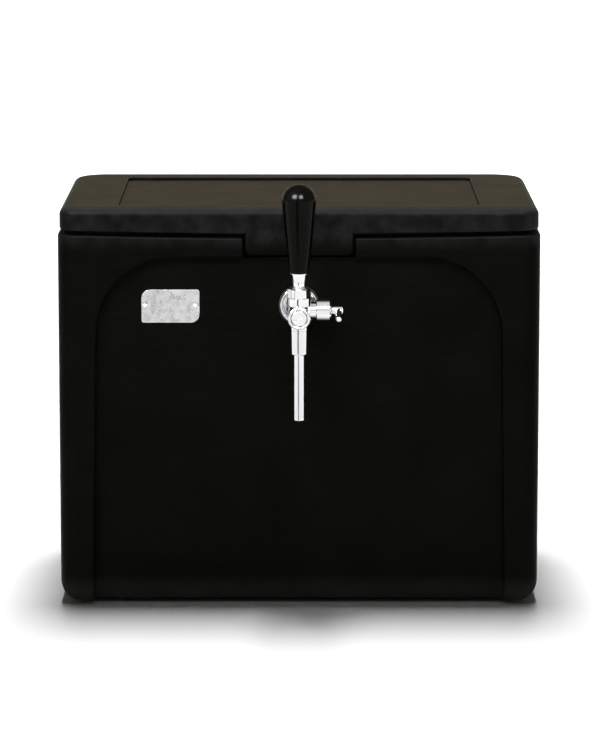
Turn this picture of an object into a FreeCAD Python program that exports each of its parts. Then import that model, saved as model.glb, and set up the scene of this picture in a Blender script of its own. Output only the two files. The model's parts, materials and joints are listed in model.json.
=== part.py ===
# Jockey box beer cooler: a foam-filled moulded box with a hinged lid, a stainless coil that
# stands in the ice, and a chromed tap with a compensator on the front.
# Millimetres. X runs to the right, the tap faces -Y, Z is up and the feet stand on Z = 0.
import FreeCAD, Part
import math
import os
import re
import Sketcher
from FreeCAD import Placement, Rotation, Vector

doc = FreeCAD.newDocument("JockeyBox")

# Driving dimensions: name, value, meaning
SIZES = (
    ("body_width", 508, "box over its sides"),
    ("body_depth", 320, "box from the front corner posts to the back"),
    ("foot_height", 5, "underside of the box above the floor"),
    ("rim_height", 396.5, "rim at its corners above the floor"),
    ("seam_sag", 3.5, "dip of the rim and of the lid's edge at mid width"),
    ("front_corner", 18, "radius of the front upright corners"),
    ("rear_corner", 38, "radius of the rear upright corners"),
    ("base_corner", 22, "radius of the lower corners seen from the front"),
    ("wall", 34, "double wall over both skins"),
    ("skin", 4.5, "moulded skin"),
    ("foam_gap", 0.3, "clearance of the foam from the skins"),
    ("floor_height", 45, "inside floor above the ground"),
    ("cavity_corner", 28, "radius of the upright corners inside"),
    ("cavity_fillet", 6, "radius round the inside floor"),
    ("panel_inset", 12, "depth of the arched front panel behind the posts"),
    ("post_width", 40.5, "corner post beside the shoulders of the arched panel"),
    ("post_foot", 36, "corner post beside the foot of the arched panel"),
    ("arch_top", 371.5, "top of the arched panel above the floor"),
    ("arch_radius", 82, "round shoulders of the arched panel"),
    ("arch_edge", 3, "rounding along the posts and the arch"),
    ("rim_edge", 2.5, "rounding round the rim of the box"),
    ("grip_edge", 3, "rounding round the hand grips"),
    ("lid_width", 504, "lid over its sides"),
    ("lid_top", 425, "top of the lid above the floor"),
    ("seam_gap", 4.5, "open seam between the rim and the lid"),
    ("lid_edge", 9, "rounding round the top of the lid"),
    ("lid_lip", 2.5, "rounding round the lower edge of the lid and its finger tab"),
    ("lid_margin", 61.5, "lid's side to the shallow tray in its top"),
    ("tray_front", 24, "front of the lid to the tray"),
    ("tray_rear", 37, "tray to the back of the lid"),
    ("tray_depth", 4, "depth of the tray"),
    ("tray_corner", 9, "corner radius of the tray"),
    ("tray_edge", 1.5, "rounding round the tray"),
    ("tongue_width", 113, "finger tab of the lid"),
    ("tongue_bottom", 374.5, "lower edge of the finger tab above the floor"),
    ("tongue_thickness", 14, "finger tab from front to back"),
    ("tongue_corner", 6, "lower corner radius of the finger tab"),
    ("tongue_gap", 3.4, "gap round the finger tab"),
    ("plug_gap", 3, "lid's inner plug to the walls of the box"),
    ("plug_drop", 12, "lid's inner plug below the rim"),
    ("grip_width", 112, "hand grip in each side"),
    ("grip_height", 34, "height of a hand grip"),
    ("grip_depth", 17, "depth of a hand grip"),
    ("grip_top", 348, "top of a hand grip above the floor"),
    ("grip_corner", 12, "corner radius of a hand grip"),
    ("gasket_edge", 12, "side of the box to the rim gasket"),
    ("gasket_play", 0.3, "gasket to the closed lid"),
    ("gasket_inner", 3, "mouth of the box to the rim gasket"),
    ("port_radius", 10, "filling port for the foam"),
    ("port_plug_play", 0.1, "plug to its filling port"),
    ("port_flange", 13, "radius of a port plug's rim"),
    ("port_flange_thick", 1.2, "thickness of a port plug's rim"),
    ("port_spread", 110, "filling ports either side of the middle"),
    ("foot_size", 38, "side of a rubber foot"),
    ("foot_spread", 338, "between the foot centres across the box"),
    ("foot_setback", 42, "front or back of the box to a foot's centre"),
    ("foot_corner", 6, "corner radius of a foot"),
    ("foot_recess", 5.6, "radius of the screw recess in a foot"),
    ("foot_recess_depth", 2.8, "depth of the screw recess in a foot"),
    ("screw_radius", 2, "small screws"),
    ("screw_play", 0.2, "small screws in the part that they hold"),
    ("screw_head", 4, "head radius of the small screws"),
    ("screw_head_thick", 2.2, "head height of the small screws"),
    ("screw_bite", 4, "small screws into the skin"),
    ("fine_break", 0.6, "small chamfers of turned parts"),
    ("edge_break", 0.8, "chamfers of turned parts"),
    ("coarse_break", 1, "large chamfers of turned parts"),
    ("blind_play", 0.2, "end of a screw or thread to the end of its hole"),
    ("end_play", 0.3, "between the end faces of parts that turn"),
    ("overcut", 1, "cuts beyond the face that they open"),
    ("hinge_spread", 300, "between the middles of the two hinges"),
    ("hinge_width", 60, "width of a hinge"),
    ("hinge_centre", 28, "middle knuckle of a hinge"),
    ("hinge_play", 0.4, "between knuckles"),
    ("leaf_thick", 2.5, "hinge leaf"),
    ("leaf_margin", 8, "end of a leaf to its outer screws"),
    ("leaf_low", 26, "body leaf below the hinge axis"),
    ("leaf_high", 15, "lid leaf above the hinge axis"),
    ("low_screws", 15.6, "screws of the body leaf below the hinge axis"),
    ("high_screws", 9.3, "screws of the lid leaf above the hinge axis"),
    ("knuckle_radius", 5, "hinge knuckle"),
    ("knuckle_off", 0.6, "knuckle to the back of the box"),
    ("pin_radius", 2.5, "hinge pin"),
    ("pin_play", 0.05, "hinge pin in its knuckles"),
    ("pin_head", 3.6, "head radius of a hinge pin"),
    ("pin_head_thick", 1.2, "head of a hinge pin"),
    ("hinge_axis", 398.9, "hinge axis above the floor"),
    ("plate_width", 61, "bare plate on the front panel"),
    ("plate_height", 35, "height of the bare plate"),
    ("plate_thick", 1.2, "thickness of the bare plate"),
    ("plate_x", 135.5, "middle of the box to the middle of the plate"),
    ("plate_z", 319.3, "middle of the plate above the floor"),
    ("plate_round", 9, "two large corners of the plate"),
    ("plate_corner", 2.5, "two small corners of the plate"),
    ("rivet_spread", 53, "between the rivets of the plate"),
    ("rivet_radius", 1.6, "rivet shank"),
    ("rivet_head", 2.6, "rivet head"),
    ("rivet_rise", 1.1, "height of a rivet head"),
    ("tap_axis", 320.3, "tap barrel and wall shank above the floor"),
    ("shank_radius", 7.9, "threaded shank through the wall"),
    ("shank_bore", 4, "radius of the shank's bore"),
    ("shank_play", 0.4, "shank in the wall"),
    ("shank_inside", 20, "shank beyond the inside of the wall"),
    ("shank_bite", 13.5, "shank inside the tap"),
    ("thread_play", 0.05, "between a thread and its nut"),
    ("nut_flats", 24, "hexagon of the nuts across its flats"),
    ("nut_thick", 7, "nut on the inside of the wall"),
    ("gasket_radius", 21.5, "round gasket behind the rosette"),
    ("gasket_thick", 2, "round gasket behind the rosette"),
    ("rosette_radius", 20, "chromed rosette"),
    ("rosette_thick", 7, "chromed rosette"),
    ("rosette_rim", 2.5, "straight rim of the rosette"),
    ("barrel_radius", 11.6, "barrel of the tap"),
    ("barrel_length", 81, "barrel of the tap"),
    ("barrel_flange", 13.4, "flange at the root of the barrel"),
    ("barrel_flange_thick", 3, "thickness of that flange"),
    ("barrel_wide_bore", 7.5, "bore in front for the slide"),
    ("barrel_seat_bore", 4.7, "bore in the middle for the slide's seal"),
    ("flow_rear_bore", 7.6, "tapered bore at its rear end"),
    ("flow_front_bore", 5.6, "tapered bore at its front end"),
    ("flow_taper_end", 44, "panel to the front end of the tapered bore"),
    ("seat_start", 54.5, "panel to the rear end of the middle bore"),
    ("seat_end", 62, "panel to the front end of the middle bore"),
    ("lever_reach", 75, "panel to the lever's upright axis"),
    ("ball_lift", 24.2, "barrel's axis to the centre of the lever's ball"),
    ("ball_radius", 9.6, "ball of the lever"),
    ("ball_play", 0.3, "ball to its socket"),
    ("boss_radius", 12.3, "upright boss and its nut"),
    ("boss_lift", 18.7, "barrel's axis to the shoulder of the boss"),
    ("neck_radius", 11, "thread on top of the boss"),
    ("neck_rise", 3, "height of that thread"),
    ("throat_radius", 7.4, "hole under the ball"),
    ("seat_ring_drop", 9.6, "ball centre to the foot of the seat ring"),
    ("seat_ring_top", 5, "ball centre to the top of the seat ring"),
    ("seat_ring_play", 0.1, "seat ring to the ball and to its socket"),
    ("bonnet_top", 4.2, "ball centre to the top of the upper nut"),
    ("lever_neck", 6.6, "neck of the lever above the ball"),
    ("lever_neck_top", 10.2, "ball centre to the top of that neck"),
    ("arm_radius", 1.8, "lower arm of the lever"),
    ("arm_ball", 3, "small ball at the end of the lower arm"),
    ("stud_radius", 4, "stud in the handle"),
    ("stud_top", 40, "ball centre to the end of the stud"),
    ("stud_gap", 0.5, "end of the stud to the end of its hole"),
    ("ferrule_top", 20.6, "ball centre to the foot of the handle"),
    ("handle_foot", 9.9, "radius of the handle at its foot"),
    ("handle_head", 17.7, "radius of the handle at its round top"),
    ("handle_shoulder", 95, "ball centre to the centre of the round top"),
    ("handle_side", 1600, "radius of the handle's long side"),
    ("slide_rod", 2.4, "waist of the slide"),
    ("slide_play", 0.08, "slide in the barrel"),
    ("slide_seal_rear", 55.5, "panel to the rear of the seal land"),
    ("slide_seal_front", 61.2, "panel to the front of the seal land"),
    ("slide_guide_rear", 70.2, "panel to the rear of the guide"),
    ("slide_guide_front", 82.5, "panel to the front of the guide"),
    ("slide_top_flat", 3.2, "axis to the flat on top of the guide"),
    ("slide_low_flat", 5, "axis to the flat under the guide"),
    ("slide_ring_width", 2, "rubber ring on the seal land"),
    ("slide_ring_groove", 1, "depth of the groove for that ring"),
    ("ring_play", 0.05, "rubber ring in the groove"),
    ("ring_squeeze", 0.02, "rubber ring or seal to the bore round it"),
    ("arm_play", 0.3, "small ball in the guide"),
    ("cap_radius", 11.6, "round cap in front"),
    ("cap_thick", 7, "round cap in front"),
    ("cap_spigot", 2, "cap inside the barrel"),
    ("cap_recess", 8.6, "round recess in the cap"),
    ("cap_recess_depth", 4.4, "depth of that recess"),
    ("plug_screw_radius", 8.15, "slotted screw in the cap"),
    ("plug_screw_thick", 3.8, "head of the slotted screw"),
    ("plug_screw_shank", 3.9, "shank of the slotted screw"),
    ("slot_width", 1.6, "slot of that screw"),
    ("slot_depth", 1.4, "depth of the slot"),
    ("slot_angle", 20, "turn of the slot from level"),
    ("plug_screw_gap", 0.4, "end of the screw's shank to the end of the cap"),
    ("spout_reach", 66.5, "panel to the spout's axis"),
    ("spout_boss", 9.7, "boss above the spout"),
    ("spout_boss_drop", 16, "axis to the lower face of that boss"),
    ("spout_spigot", 7, "thread of the spout"),
    ("spout_spigot_rise", 5, "height of that thread"),
    ("spout_port", 4.3, "bore of the spout"),
    ("body_port", 4.8, "hole from the barrel to the spout"),
    ("spout_head_top", 9.5, "head of the spout at its top"),
    ("spout_head_low", 9, "head of the spout at its lower end"),
    ("spout_head_length", 26, "head of the spout"),
    ("spout_tube", 6, "tube of the spout"),
    ("spout_tube_length", 69, "tube of the spout"),
    ("flow_reach", 38, "panel to the compensator's axis"),
    ("side_boss", 9.3, "boss at the side of the barrel"),
    ("side_boss_out", 17.6, "axis to the end of that boss"),
    ("side_thread", 8, "thread beyond that boss"),
    ("side_thread_out", 27, "axis to the end of that thread"),
    ("side_seal_in", 21.8, "axis to the seal's pocket"),
    ("side_seal_radius", 6, "seal's pocket"),
    ("side_seal_thick", 2.2, "rubber seal in the pocket"),
    ("side_seal_play", 0.1, "collar and seal in their pocket"),
    ("knob_radius", 12.6, "knurled nut"),
    ("knob_in", 18, "axis to the near face of the knurled nut"),
    ("knob_out", 35, "axis to the far face of the knurled nut"),
    ("knob_wall", 27.3, "axis to the nut's end wall"),
    ("knob_chamfer", 2.4, "chamfer on the knurled nut"),
    ("knob_grooves", 36, "grooves round the knurled nut"),
    ("knob_groove", 0.5, "radius of a groove"),
    ("stem_radius", 4.2, "compensator spindle"),
    ("stem_play", 0.06, "spindle in its bores"),
    ("stem_in", 8.2, "axis to the inner face of the spindle"),
    ("stem_out", 46, "axis to the outer end of the spindle"),
    ("stem_head", 4.8, "head of the spindle"),
    ("stem_collar_in", 24.2, "axis to the collar on the spindle"),
    ("stem_collar_out", 26.7, "axis to the far face of the collar"),
    ("crank_radius", 1.9, "crank pin on the spindle"),
    ("crank_throw", 2.2, "crank pin from the spindle's axis"),
    ("crank_in", 1.5, "axis to the tip of the crank pin"),
    ("crank_play", 0.3, "crank pin in the cone's slot"),
    ("crank_end_play", 0.5, "tip of the crank pin to the bottom of that slot"),
    ("flow_lever_x", 41.3, "axis to the small lever"),
    ("flow_lever_radius", 3.4, "small lever"),
    ("flow_lever_length", 24, "small lever from the spindle's axis to its round end"),
    ("flow_lever_back", 3, "small lever behind the spindle's axis"),
    ("flow_lever_drop", 14, "small lever below level, in degrees"),
    ("cone_rear", 29, "panel to the rear end of the cone"),
    ("cone_front", 42, "panel to the front end of the cone"),
    ("cone_gap", 0.8, "cone to the tapered bore"),
    ("coil_tube", 4.75, "radius of the coil's tube"),
    ("coil_bend", 68, "radius of the coil's round ends"),
    ("coil_span", 150, "length of a straight run of the coil"),
    ("coil_pitch", 28, "rise of the coil in one turn"),
    ("coil_turns", 4, "whole turns of the coil"),
    ("coil_start", 77, "lowest turn above the floor"),
    ("coil_back", 120, "rear wall inside the box to the coil's middle"),
    ("riser_bend", 25, "bends of the coil's two ends"),
    ("riser_in", 65, "middle to the upright ends of the coil"),
    ("tail_nut_radius", 11, "nuts on the ends of the coil"),
    ("tail_nut_length", 18, "nuts on the ends of the coil"),
    ("tail_nut_break", 2, "chamfer of those nuts"),
    ("tail_nut_gap", 1, "those nuts to the wall nuts"),
    ("comb_width", 9, "combs that carry the coil"),
    ("comb_inner", 12, "comb inside the coil's run"),
    ("comb_reach", 2.4, "comb in front of the tube's middle"),
    ("comb_spread", 60, "between the two combs of a run"),
    ("comb_play", 0.35, "tube in a comb"),
    ("comb_top", 9, "comb above the topmost tube"),
    ("inlet_height", 77, "beer inlet above the floor"),
    ("inlet_thread", 7, "inlet fitting through the wall"),
    ("inlet_bore", 3.2, "bore of the barbed end of the inlet fitting"),
    ("inlet_wide_bore", 4.2, "bore of the inlet fitting in the wall"),
    ("inlet_bore_step", 2, "rear face of its flange to the step between the two bores"),
    ("inlet_play", 0.4, "inlet fitting in the wall"),
    ("inlet_inside", 18, "inlet fitting beyond the inside of the wall"),
    ("inlet_flange", 12.5, "flange of the inlet fitting"),
    ("inlet_flange_thick", 5, "flange of the inlet fitting"),
    ("inlet_barb", 5.4, "barbs of the inlet fitting"),
    ("inlet_tail", 4.5, "tail of the inlet fitting between its barbs"),
    ("inlet_barb_pitch", 6, "length of a barb"),
    ("inlet_barb_step", 2, "start of a barb to its widest ring"),
    ("washer_thick", 1.6, "flat gaskets on the back"),
    ("washer_edge", 1, "flat gaskets beyond their flanges"),
    ("drain_x", 150, "middle of the box to the drain"),
    ("drain_height", 67, "drain above the floor"),
    ("drain_thread", 9, "drain bush through the wall"),
    ("drain_bore", 6, "bore of the drain bush"),
    ("drain_play", 0.4, "drain bush in the wall"),
    ("drain_inside", 9, "drain bush beyond the inside of the wall"),
    ("drain_flange", 14, "flange of the drain bush"),
    ("drain_flange_thick", 3, "flange of the drain bush"),
    ("drain_spout", 12, "drain bush beyond its flange"),
    ("drain_nut_flats", 25, "hexagon of the drain's nut"),
    ("drain_nut_thick", 6, "nut of the drain bush"),
    ("bung_radius", 11.5, "screw cap of the drain"),
    ("bung_wall", 2.2, "wall of the screw cap"),
    ("bung_play", 0.1, "screw cap on the drain bush"),
    ("bung_grooves", 18, "grips round the screw cap"),
    ("bung_groove", 0.9, "radius of a grip's groove"),
)

sheet = doc.addObject("Spreadsheet::Sheet", "Dims")
for row, (alias, value, meaning) in enumerate(SIZES, start=1):
    sheet.set(f"A{row}", alias)
    sheet.set(f"B{row}", str(value))
    sheet.set(f"C{row}", meaning)
    sheet.setAlias(f"B{row}", alias)
doc.recompute()
ALIASES = {alias for alias, value, meaning in SIZES}
scratch = doc.addObject("App::FeaturePython", "Sums")

# Places that several pieces share, worked out from the driving dimensions
BODY_HALF = "(body_width / 2)"
LID_HALF = "(lid_width / 2)"
SEAM_RADIUS = f"(({BODY_HALF}^2 + seam_sag^2) / (2 * seam_sag))"
CAVITY_HALF = f"({BODY_HALF} - wall)"
CAVITY_FRONT = "(panel_inset + wall)"
CAVITY_REAR = "(body_depth - wall)"
NOTCH_DEPTH = "(tongue_thickness + tongue_gap)"
BARREL_START = "(gasket_thick + rosette_thick)"
BARREL_END = f"({BARREL_START} + barrel_length)"
CAP_END = f"({BARREL_END} + cap_thick)"
INLET_REACH = "(washer_thick + inlet_flange_thick + 3 * inlet_barb_pitch)"
FRONT = f"(({CAP_END} - panel_inset - body_depth - {INLET_REACH}) / 2)"
PANEL = f"({FRONT} + panel_inset)"
REAR = f"({FRONT} + body_depth)"
BALL_Z = "(tap_axis + ball_lift)"
LEVER_Y = f"({PANEL} - lever_reach)"
HINGE_Y = f"({REAR} + knuckle_off + knuckle_radius)"
COIL_Y = f"({REAR} - wall - coil_back)"
HINGE_SCREWS = ("(leaf_margin - hinge_width / 2)", "0", "(hinge_width / 2 - leaf_margin)")
LOW_SCREWS = "-low_screws"
HIGH_SCREWS = "high_screws"
EQUAL = 1e-4


def bound(text):
    """Put the sheet's name before each of its aliases in a formula."""
    return re.sub(r"[a-z_]+", lambda word: "Dims." + word[0] if word[0] in ALIASES else word[0], str(text))


def number(text):
    """The present value of a formula."""
    result = scratch.evalExpression(bound(text))
    return float(getattr(result, "Value", result))


def seam_height(half, lift="0"):
    """Height of the sagging rim at a distance from the middle of the box."""
    return f"(rim_height - seam_sag + {SEAM_RADIUS} - sqrt({SEAM_RADIUS}^2 - {half}^2) + {lift})"


def set_sizes(feature, **formulas):
    """Bind properties of a feature to formulas."""
    for name, text in formulas.items():
        feature.setExpression(name, bound(text))


def place(piece, x="0", y="0", z="0", axis=(0, 0, 1), angle=0):
    """Turn a piece about its own origin and bind that origin to formulas."""
    piece.Placement = Placement(Vector(), Rotation(Vector(*axis), angle))
    for name, text in (("x", x), ("y", y), ("z", z)):
        piece.setExpression(f"Placement.Base.{name}", bound(text))
    return piece


FACING_FRONT = dict(axis=(1, 0, 0), angle=90)
FACING_REAR = dict(axis=(1, 0, 0), angle=-90)
FACING_RIGHT = dict(axis=(0, 1, 0), angle=90)


def new_body(name):
    """An empty body whose label names its file."""
    body = doc.addObject("PartDesign::Body", "Body_" + name)
    body.Label = name
    return body


def arc_through(start, end, radius):
    """The shorter arc from start to end: it turns left for a positive radius."""
    chord = end - start
    left = Vector(-chord.y, chord.x, 0).normalize()
    rise = math.sqrt(max(radius * radius - chord.Length ** 2 / 4, 0))
    centre = (start + end) / 2 + left * math.copysign(rise, radius)
    first, last = (start, end) if radius > 0 else (end, start)
    angles = [math.atan2(spot.y - centre.y, spot.x - centre.x) for spot in (first, last)]
    return Part.ArcOfCircle(Part.Circle(centre, Vector(0, 0, 1), abs(radius)), *angles)


def add_outline(sketch, points):
    """A closed outline: (x, y) starts a line and (x, y, radius) an arc to the next point."""
    spots = [Vector(number(point[0]), number(point[1]), 0) for point in points]
    constraints = []
    formulas = []
    heads = []
    tails = []
    for index, point in enumerate(points):
        start, end = spots[index], spots[(index + 1) % len(spots)]
        if len(point) == 2:
            edge = sketch.addGeometry(Part.LineSegment(start, end), False)
            head, tail = 1, 2
        else:
            radius = number(point[2])
            edge = sketch.addGeometry(arc_through(start, end, radius), False)
            head, tail = (1, 2) if radius > 0 else (2, 1)
            constraints.append(Sketcher.Constraint("Radius", edge, abs(radius)))
            formulas.append(f"abs({point[2]})")
        heads.append((edge, head))
        tails.append((edge, tail))
    for index, (edge, head) in enumerate(heads):
        constraints.append(Sketcher.Constraint("Coincident", *tails[index - 1], edge, head))
        formulas.append(None)
        for kind, text, axis, size in (
            ("DistanceX", points[index][0], -2, spots[index].x),
            ("DistanceY", points[index][1], -1, spots[index].y),
        ):
            if text == "0":
                constraints.append(Sketcher.Constraint("PointOnObject", edge, head, axis))
                formulas.append(None)
            else:
                constraints.append(Sketcher.Constraint(kind, -1, 1, edge, head, size))
                formulas.append(text)
    bind_constraints(sketch, constraints, formulas)


def add_circle(sketch, x, y, radius):
    """A circle about a point."""
    centre = Vector(number(x), number(y), 0)
    edge = sketch.addGeometry(Part.Circle(centre, Vector(0, 0, 1), number(radius)), False)
    constraints = [Sketcher.Constraint("Radius", edge, number(radius))]
    formulas = [radius]
    for kind, text, axis, size in (("DistanceX", x, -2, centre.x), ("DistanceY", y, -1, centre.y)):
        if text == "0":
            constraints.append(Sketcher.Constraint("PointOnObject", edge, 3, axis))
            formulas.append(None)
        else:
            constraints.append(Sketcher.Constraint(kind, -1, 1, edge, 3, size))
            formulas.append(text)
    bind_constraints(sketch, constraints, formulas)


def bind_constraints(sketch, constraints, formulas):
    """Add constraints in one go and bind those that have a formula."""
    first = sketch.ConstraintCount
    sketch.addConstraint(constraints)
    for offset, text in enumerate(formulas):
        if text is not None:
            sketch.setExpression(f"Constraints[{first + offset}]", bound(text))


def new_sketch(body, plane, *shapes, offset=None):
    """A sketch on one of the body's own planes; a shape is an outline or a circle."""
    sketch = body.newObject("Sketcher::SketchObject", f"{body.Label}_outline")
    support = [item for item in body.Origin.OriginFeatures if item.Role == plane + "_Plane"]
    sketch.AttachmentSupport = (support[0], [""])
    sketch.MapMode = "FlatFace"
    if offset is not None:
        sketch.setExpression("AttachmentOffset.Base.z", bound(offset))
    for shape in shapes:
        if isinstance(shape, tuple):
            add_circle(sketch, *shape)
        else:
            add_outline(sketch, shape)
    return sketch


def pad(body, sketch, length, back=False, middle=False):
    """Material along the sketch's normal, or against it."""
    feature = body.newObject("PartDesign::Pad", f"{body.Label}_pad")
    feature.Profile = sketch
    feature.Reversed = back
    if middle:
        feature.SideType = "Symmetric"
    set_sizes(feature, Length=length)
    return feature


def pocket(body, sketch, length=None, back=False, middle=False):
    """A cut against the sketch's normal, or along it; with no length it goes all through."""
    feature = body.newObject("PartDesign::Pocket", f"{body.Label}_pocket")
    feature.Profile = sketch
    feature.Reversed = back
    if middle:
        feature.SideType = "Symmetric"
    if length is None:
        feature.Type = "ThroughAll"
    else:
        set_sizes(feature, Length=length)
    return feature


def turn(body, sketch, cut=False):
    """A sketch on the XZ plane turned round the body's own Z axis."""
    kind = "Groove" if cut else "Revolution"
    feature = body.newObject(f"PartDesign::{kind}", f"{body.Label}_{kind.lower()}")
    feature.Profile = sketch
    feature.ReferenceAxis = (sketch, ["V_Axis"])
    feature.Angle = 360
    return feature


def pattern(body, feature, count, spacing=None, axis="Z_Axis"):
    """Copies of a feature round an axis, or along it when a spacing is given."""
    kind = "PolarPattern" if spacing is None else "LinearPattern"
    copies = body.newObject(f"PartDesign::{kind}", f"{body.Label}_copies")
    line = [item for item in body.Origin.OriginFeatures if item.Role == axis][0]
    copies.Originals = [feature]
    set_sizes(copies, Occurrences=count)
    if spacing is None:
        copies.Axis = (line, [""])
        copies.Angle = 360
    else:
        copies.Direction = (line, [""])
        set_sizes(copies, Length=f"{spacing} * ({count} - 1)")
    body.Tip = copies
    return copies


def round_edges(body, radius, chosen):
    """A fillet on the edges of the body's last feature that a test picks."""
    doc.recompute()
    last = body.Tip
    names = [f"Edge{i}" for i, edge in enumerate(last.Shape.Edges, start=1) if chosen(edge)]
    feature = body.newObject("PartDesign::Fillet", f"{body.Label}_fillet")
    feature.Base = (last, names)
    set_sizes(feature, Radius=radius)
    return feature


def rounded(x_low, x_high, y_low, y_high, near, far=None):
    """A rectangle with round corners, near ones at y_low and far ones at y_high."""
    far = near if far is None else far
    return [
        (f"({x_low} + {near})", y_low),
        (f"({x_high} - {near})", y_low, near),
        (x_high, f"({y_low} + {near})"),
        (x_high, f"({y_high} - {far})", far),
        (f"({x_high} - {far})", y_high),
        (f"({x_low} + {far})", y_high, far),
        (x_low, f"({y_high} - {far})"),
        (x_low, f"({y_low} + {near})", near),
    ]


def ring_outside(outline, reach="(2 * body_width)"):
    """An outline with a large square round it, which trims what lies outside."""
    square = [(f"(-{reach})", f"(-{reach})"), (reach, f"(-{reach})"), (reach, reach), (f"(-{reach})", reach)]
    return square, outline


def spread(name, source, places):
    """Copies of one piece at several places, as one group of separate solids."""
    links = []
    for x, y, z in places:
        link = doc.addObject("App::Link", f"{name}_copy")
        link.LinkedObject = source
        link.LinkTransform = False
        link.Placement = Placement(Vector(), source.Placement.Rotation)
        for axis, text in (("x", x), ("y", y), ("z", z)):
            link.setExpression(f"Placement.Base.{axis}", bound(text))
        links.append(link)
    group = doc.addObject("Part::Compound", "Group_" + name)
    group.Links = links
    group.Label = name
    return group


def turned(name, outline, x="0", y="0", z="0", **facing):
    """A lathe piece: its outline is radius and length along its axis."""
    body = new_body(name)
    turn(body, new_sketch(body, "XZ", outline))
    return place(body, x, y, z, **facing)


def housing_outline(inset, top, curved):
    """Front view of the box, drawn inwards by an inset."""
    half = f"({BODY_HALF} - {inset})"
    base = f"(foot_height + {inset})"
    corner = f"(base_corner - {inset})"
    upper = (half, top, f"(-{SEAM_RADIUS})") if curved else (half, top)
    return [
        (f"({corner} - {half})", base),
        (f"({half} - {corner})", base, corner),
        (half, f"({base} + {corner})"),
        upper,
        (f"(-{half})", top),
        (f"(-{half})", f"({base} + {corner})", corner),
    ]


def box_plan(half, front, rear, inset):
    """Plan of the box with its corner radii, drawn inwards by an inset."""
    return rounded(f"(-{half})", half, front, rear, f"(front_corner - {inset})", f"(rear_corner - {inset})")


def cavity_plan(growth):
    """Plan of the ice space, drawn outwards by a growth."""
    half = f"({CAVITY_HALF} + {growth})"
    corner = f"(cavity_corner + {growth})"
    return rounded(f"(-{half})", half, f"({CAVITY_FRONT} - {growth})", f"({CAVITY_REAR} + {growth})", corner)


def grip_outline(growth):
    """A hand grip seen from the side, drawn outwards by a growth."""
    middle = "(body_depth / 2)"
    half = f"(grip_width / 2 + {growth})"
    low = f"(grip_top - grip_height - {growth})"
    high = f"(grip_top + {growth})"
    return rounded(f"({middle} - {half})", f"({middle} + {half})", low, high, "grip_corner")


def wall_filling(name, inset):
    """The space between the two skins of the box, or the foam that fills it."""
    body = new_body(name)
    top = f"(rim_height - seam_sag - {inset})"
    half = f"({BODY_HALF} - {inset})"
    pad(body, new_sketch(body, "XZ", housing_outline(inset, top, False)), "body_depth", back=True)
    plan = box_plan(half, f"(panel_inset + {inset})", f"(body_depth - {inset})", inset)
    pocket(body, new_sketch(body, "XY", *ring_outside(plan)), back=True)
    pocket(body, new_sketch(body, "XY", cavity_plan(inset), offset=f"(floor_height - {inset})"), back=True)
    side = f"(tongue_width / 2 + tongue_gap + {inset})"
    notch = [
        (f"(-{side})", f"(arch_top - {inset})"),
        (side, f"(arch_top - {inset})"),
        (side, "lid_top"),
        (f"(-{side})", "lid_top"),
    ]
    pocket(body, new_sketch(body, "XZ", notch), f"({NOTCH_DEPTH} + {inset})")
    for sign, back in (("", True), ("-", False)):
        start = f"({sign}({BODY_HALF} - grip_depth - {inset}))"
        pocket(body, new_sketch(body, "YZ", grip_outline(inset), offset=start), back=back)
    return place(body, y=FRONT)


def wall_holes(body, extra):
    """The three holes that are drilled through both skins and the foam."""
    tap = ("0", "tap_axis", f"(shank_radius + shank_play + {extra})")
    pocket(body, new_sketch(body, "XZ", tap), "(panel_inset + wall + overcut)")
    inlet = ("(-riser_in)", "inlet_height", f"(inlet_thread + inlet_play + {extra})")
    drain = ("drain_x", "drain_height", f"(drain_thread + drain_play + {extra})")
    pocket(body, new_sketch(body, "XZ", inlet, drain, offset="(-body_depth)"), "(wall + overcut)", back=True)


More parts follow.
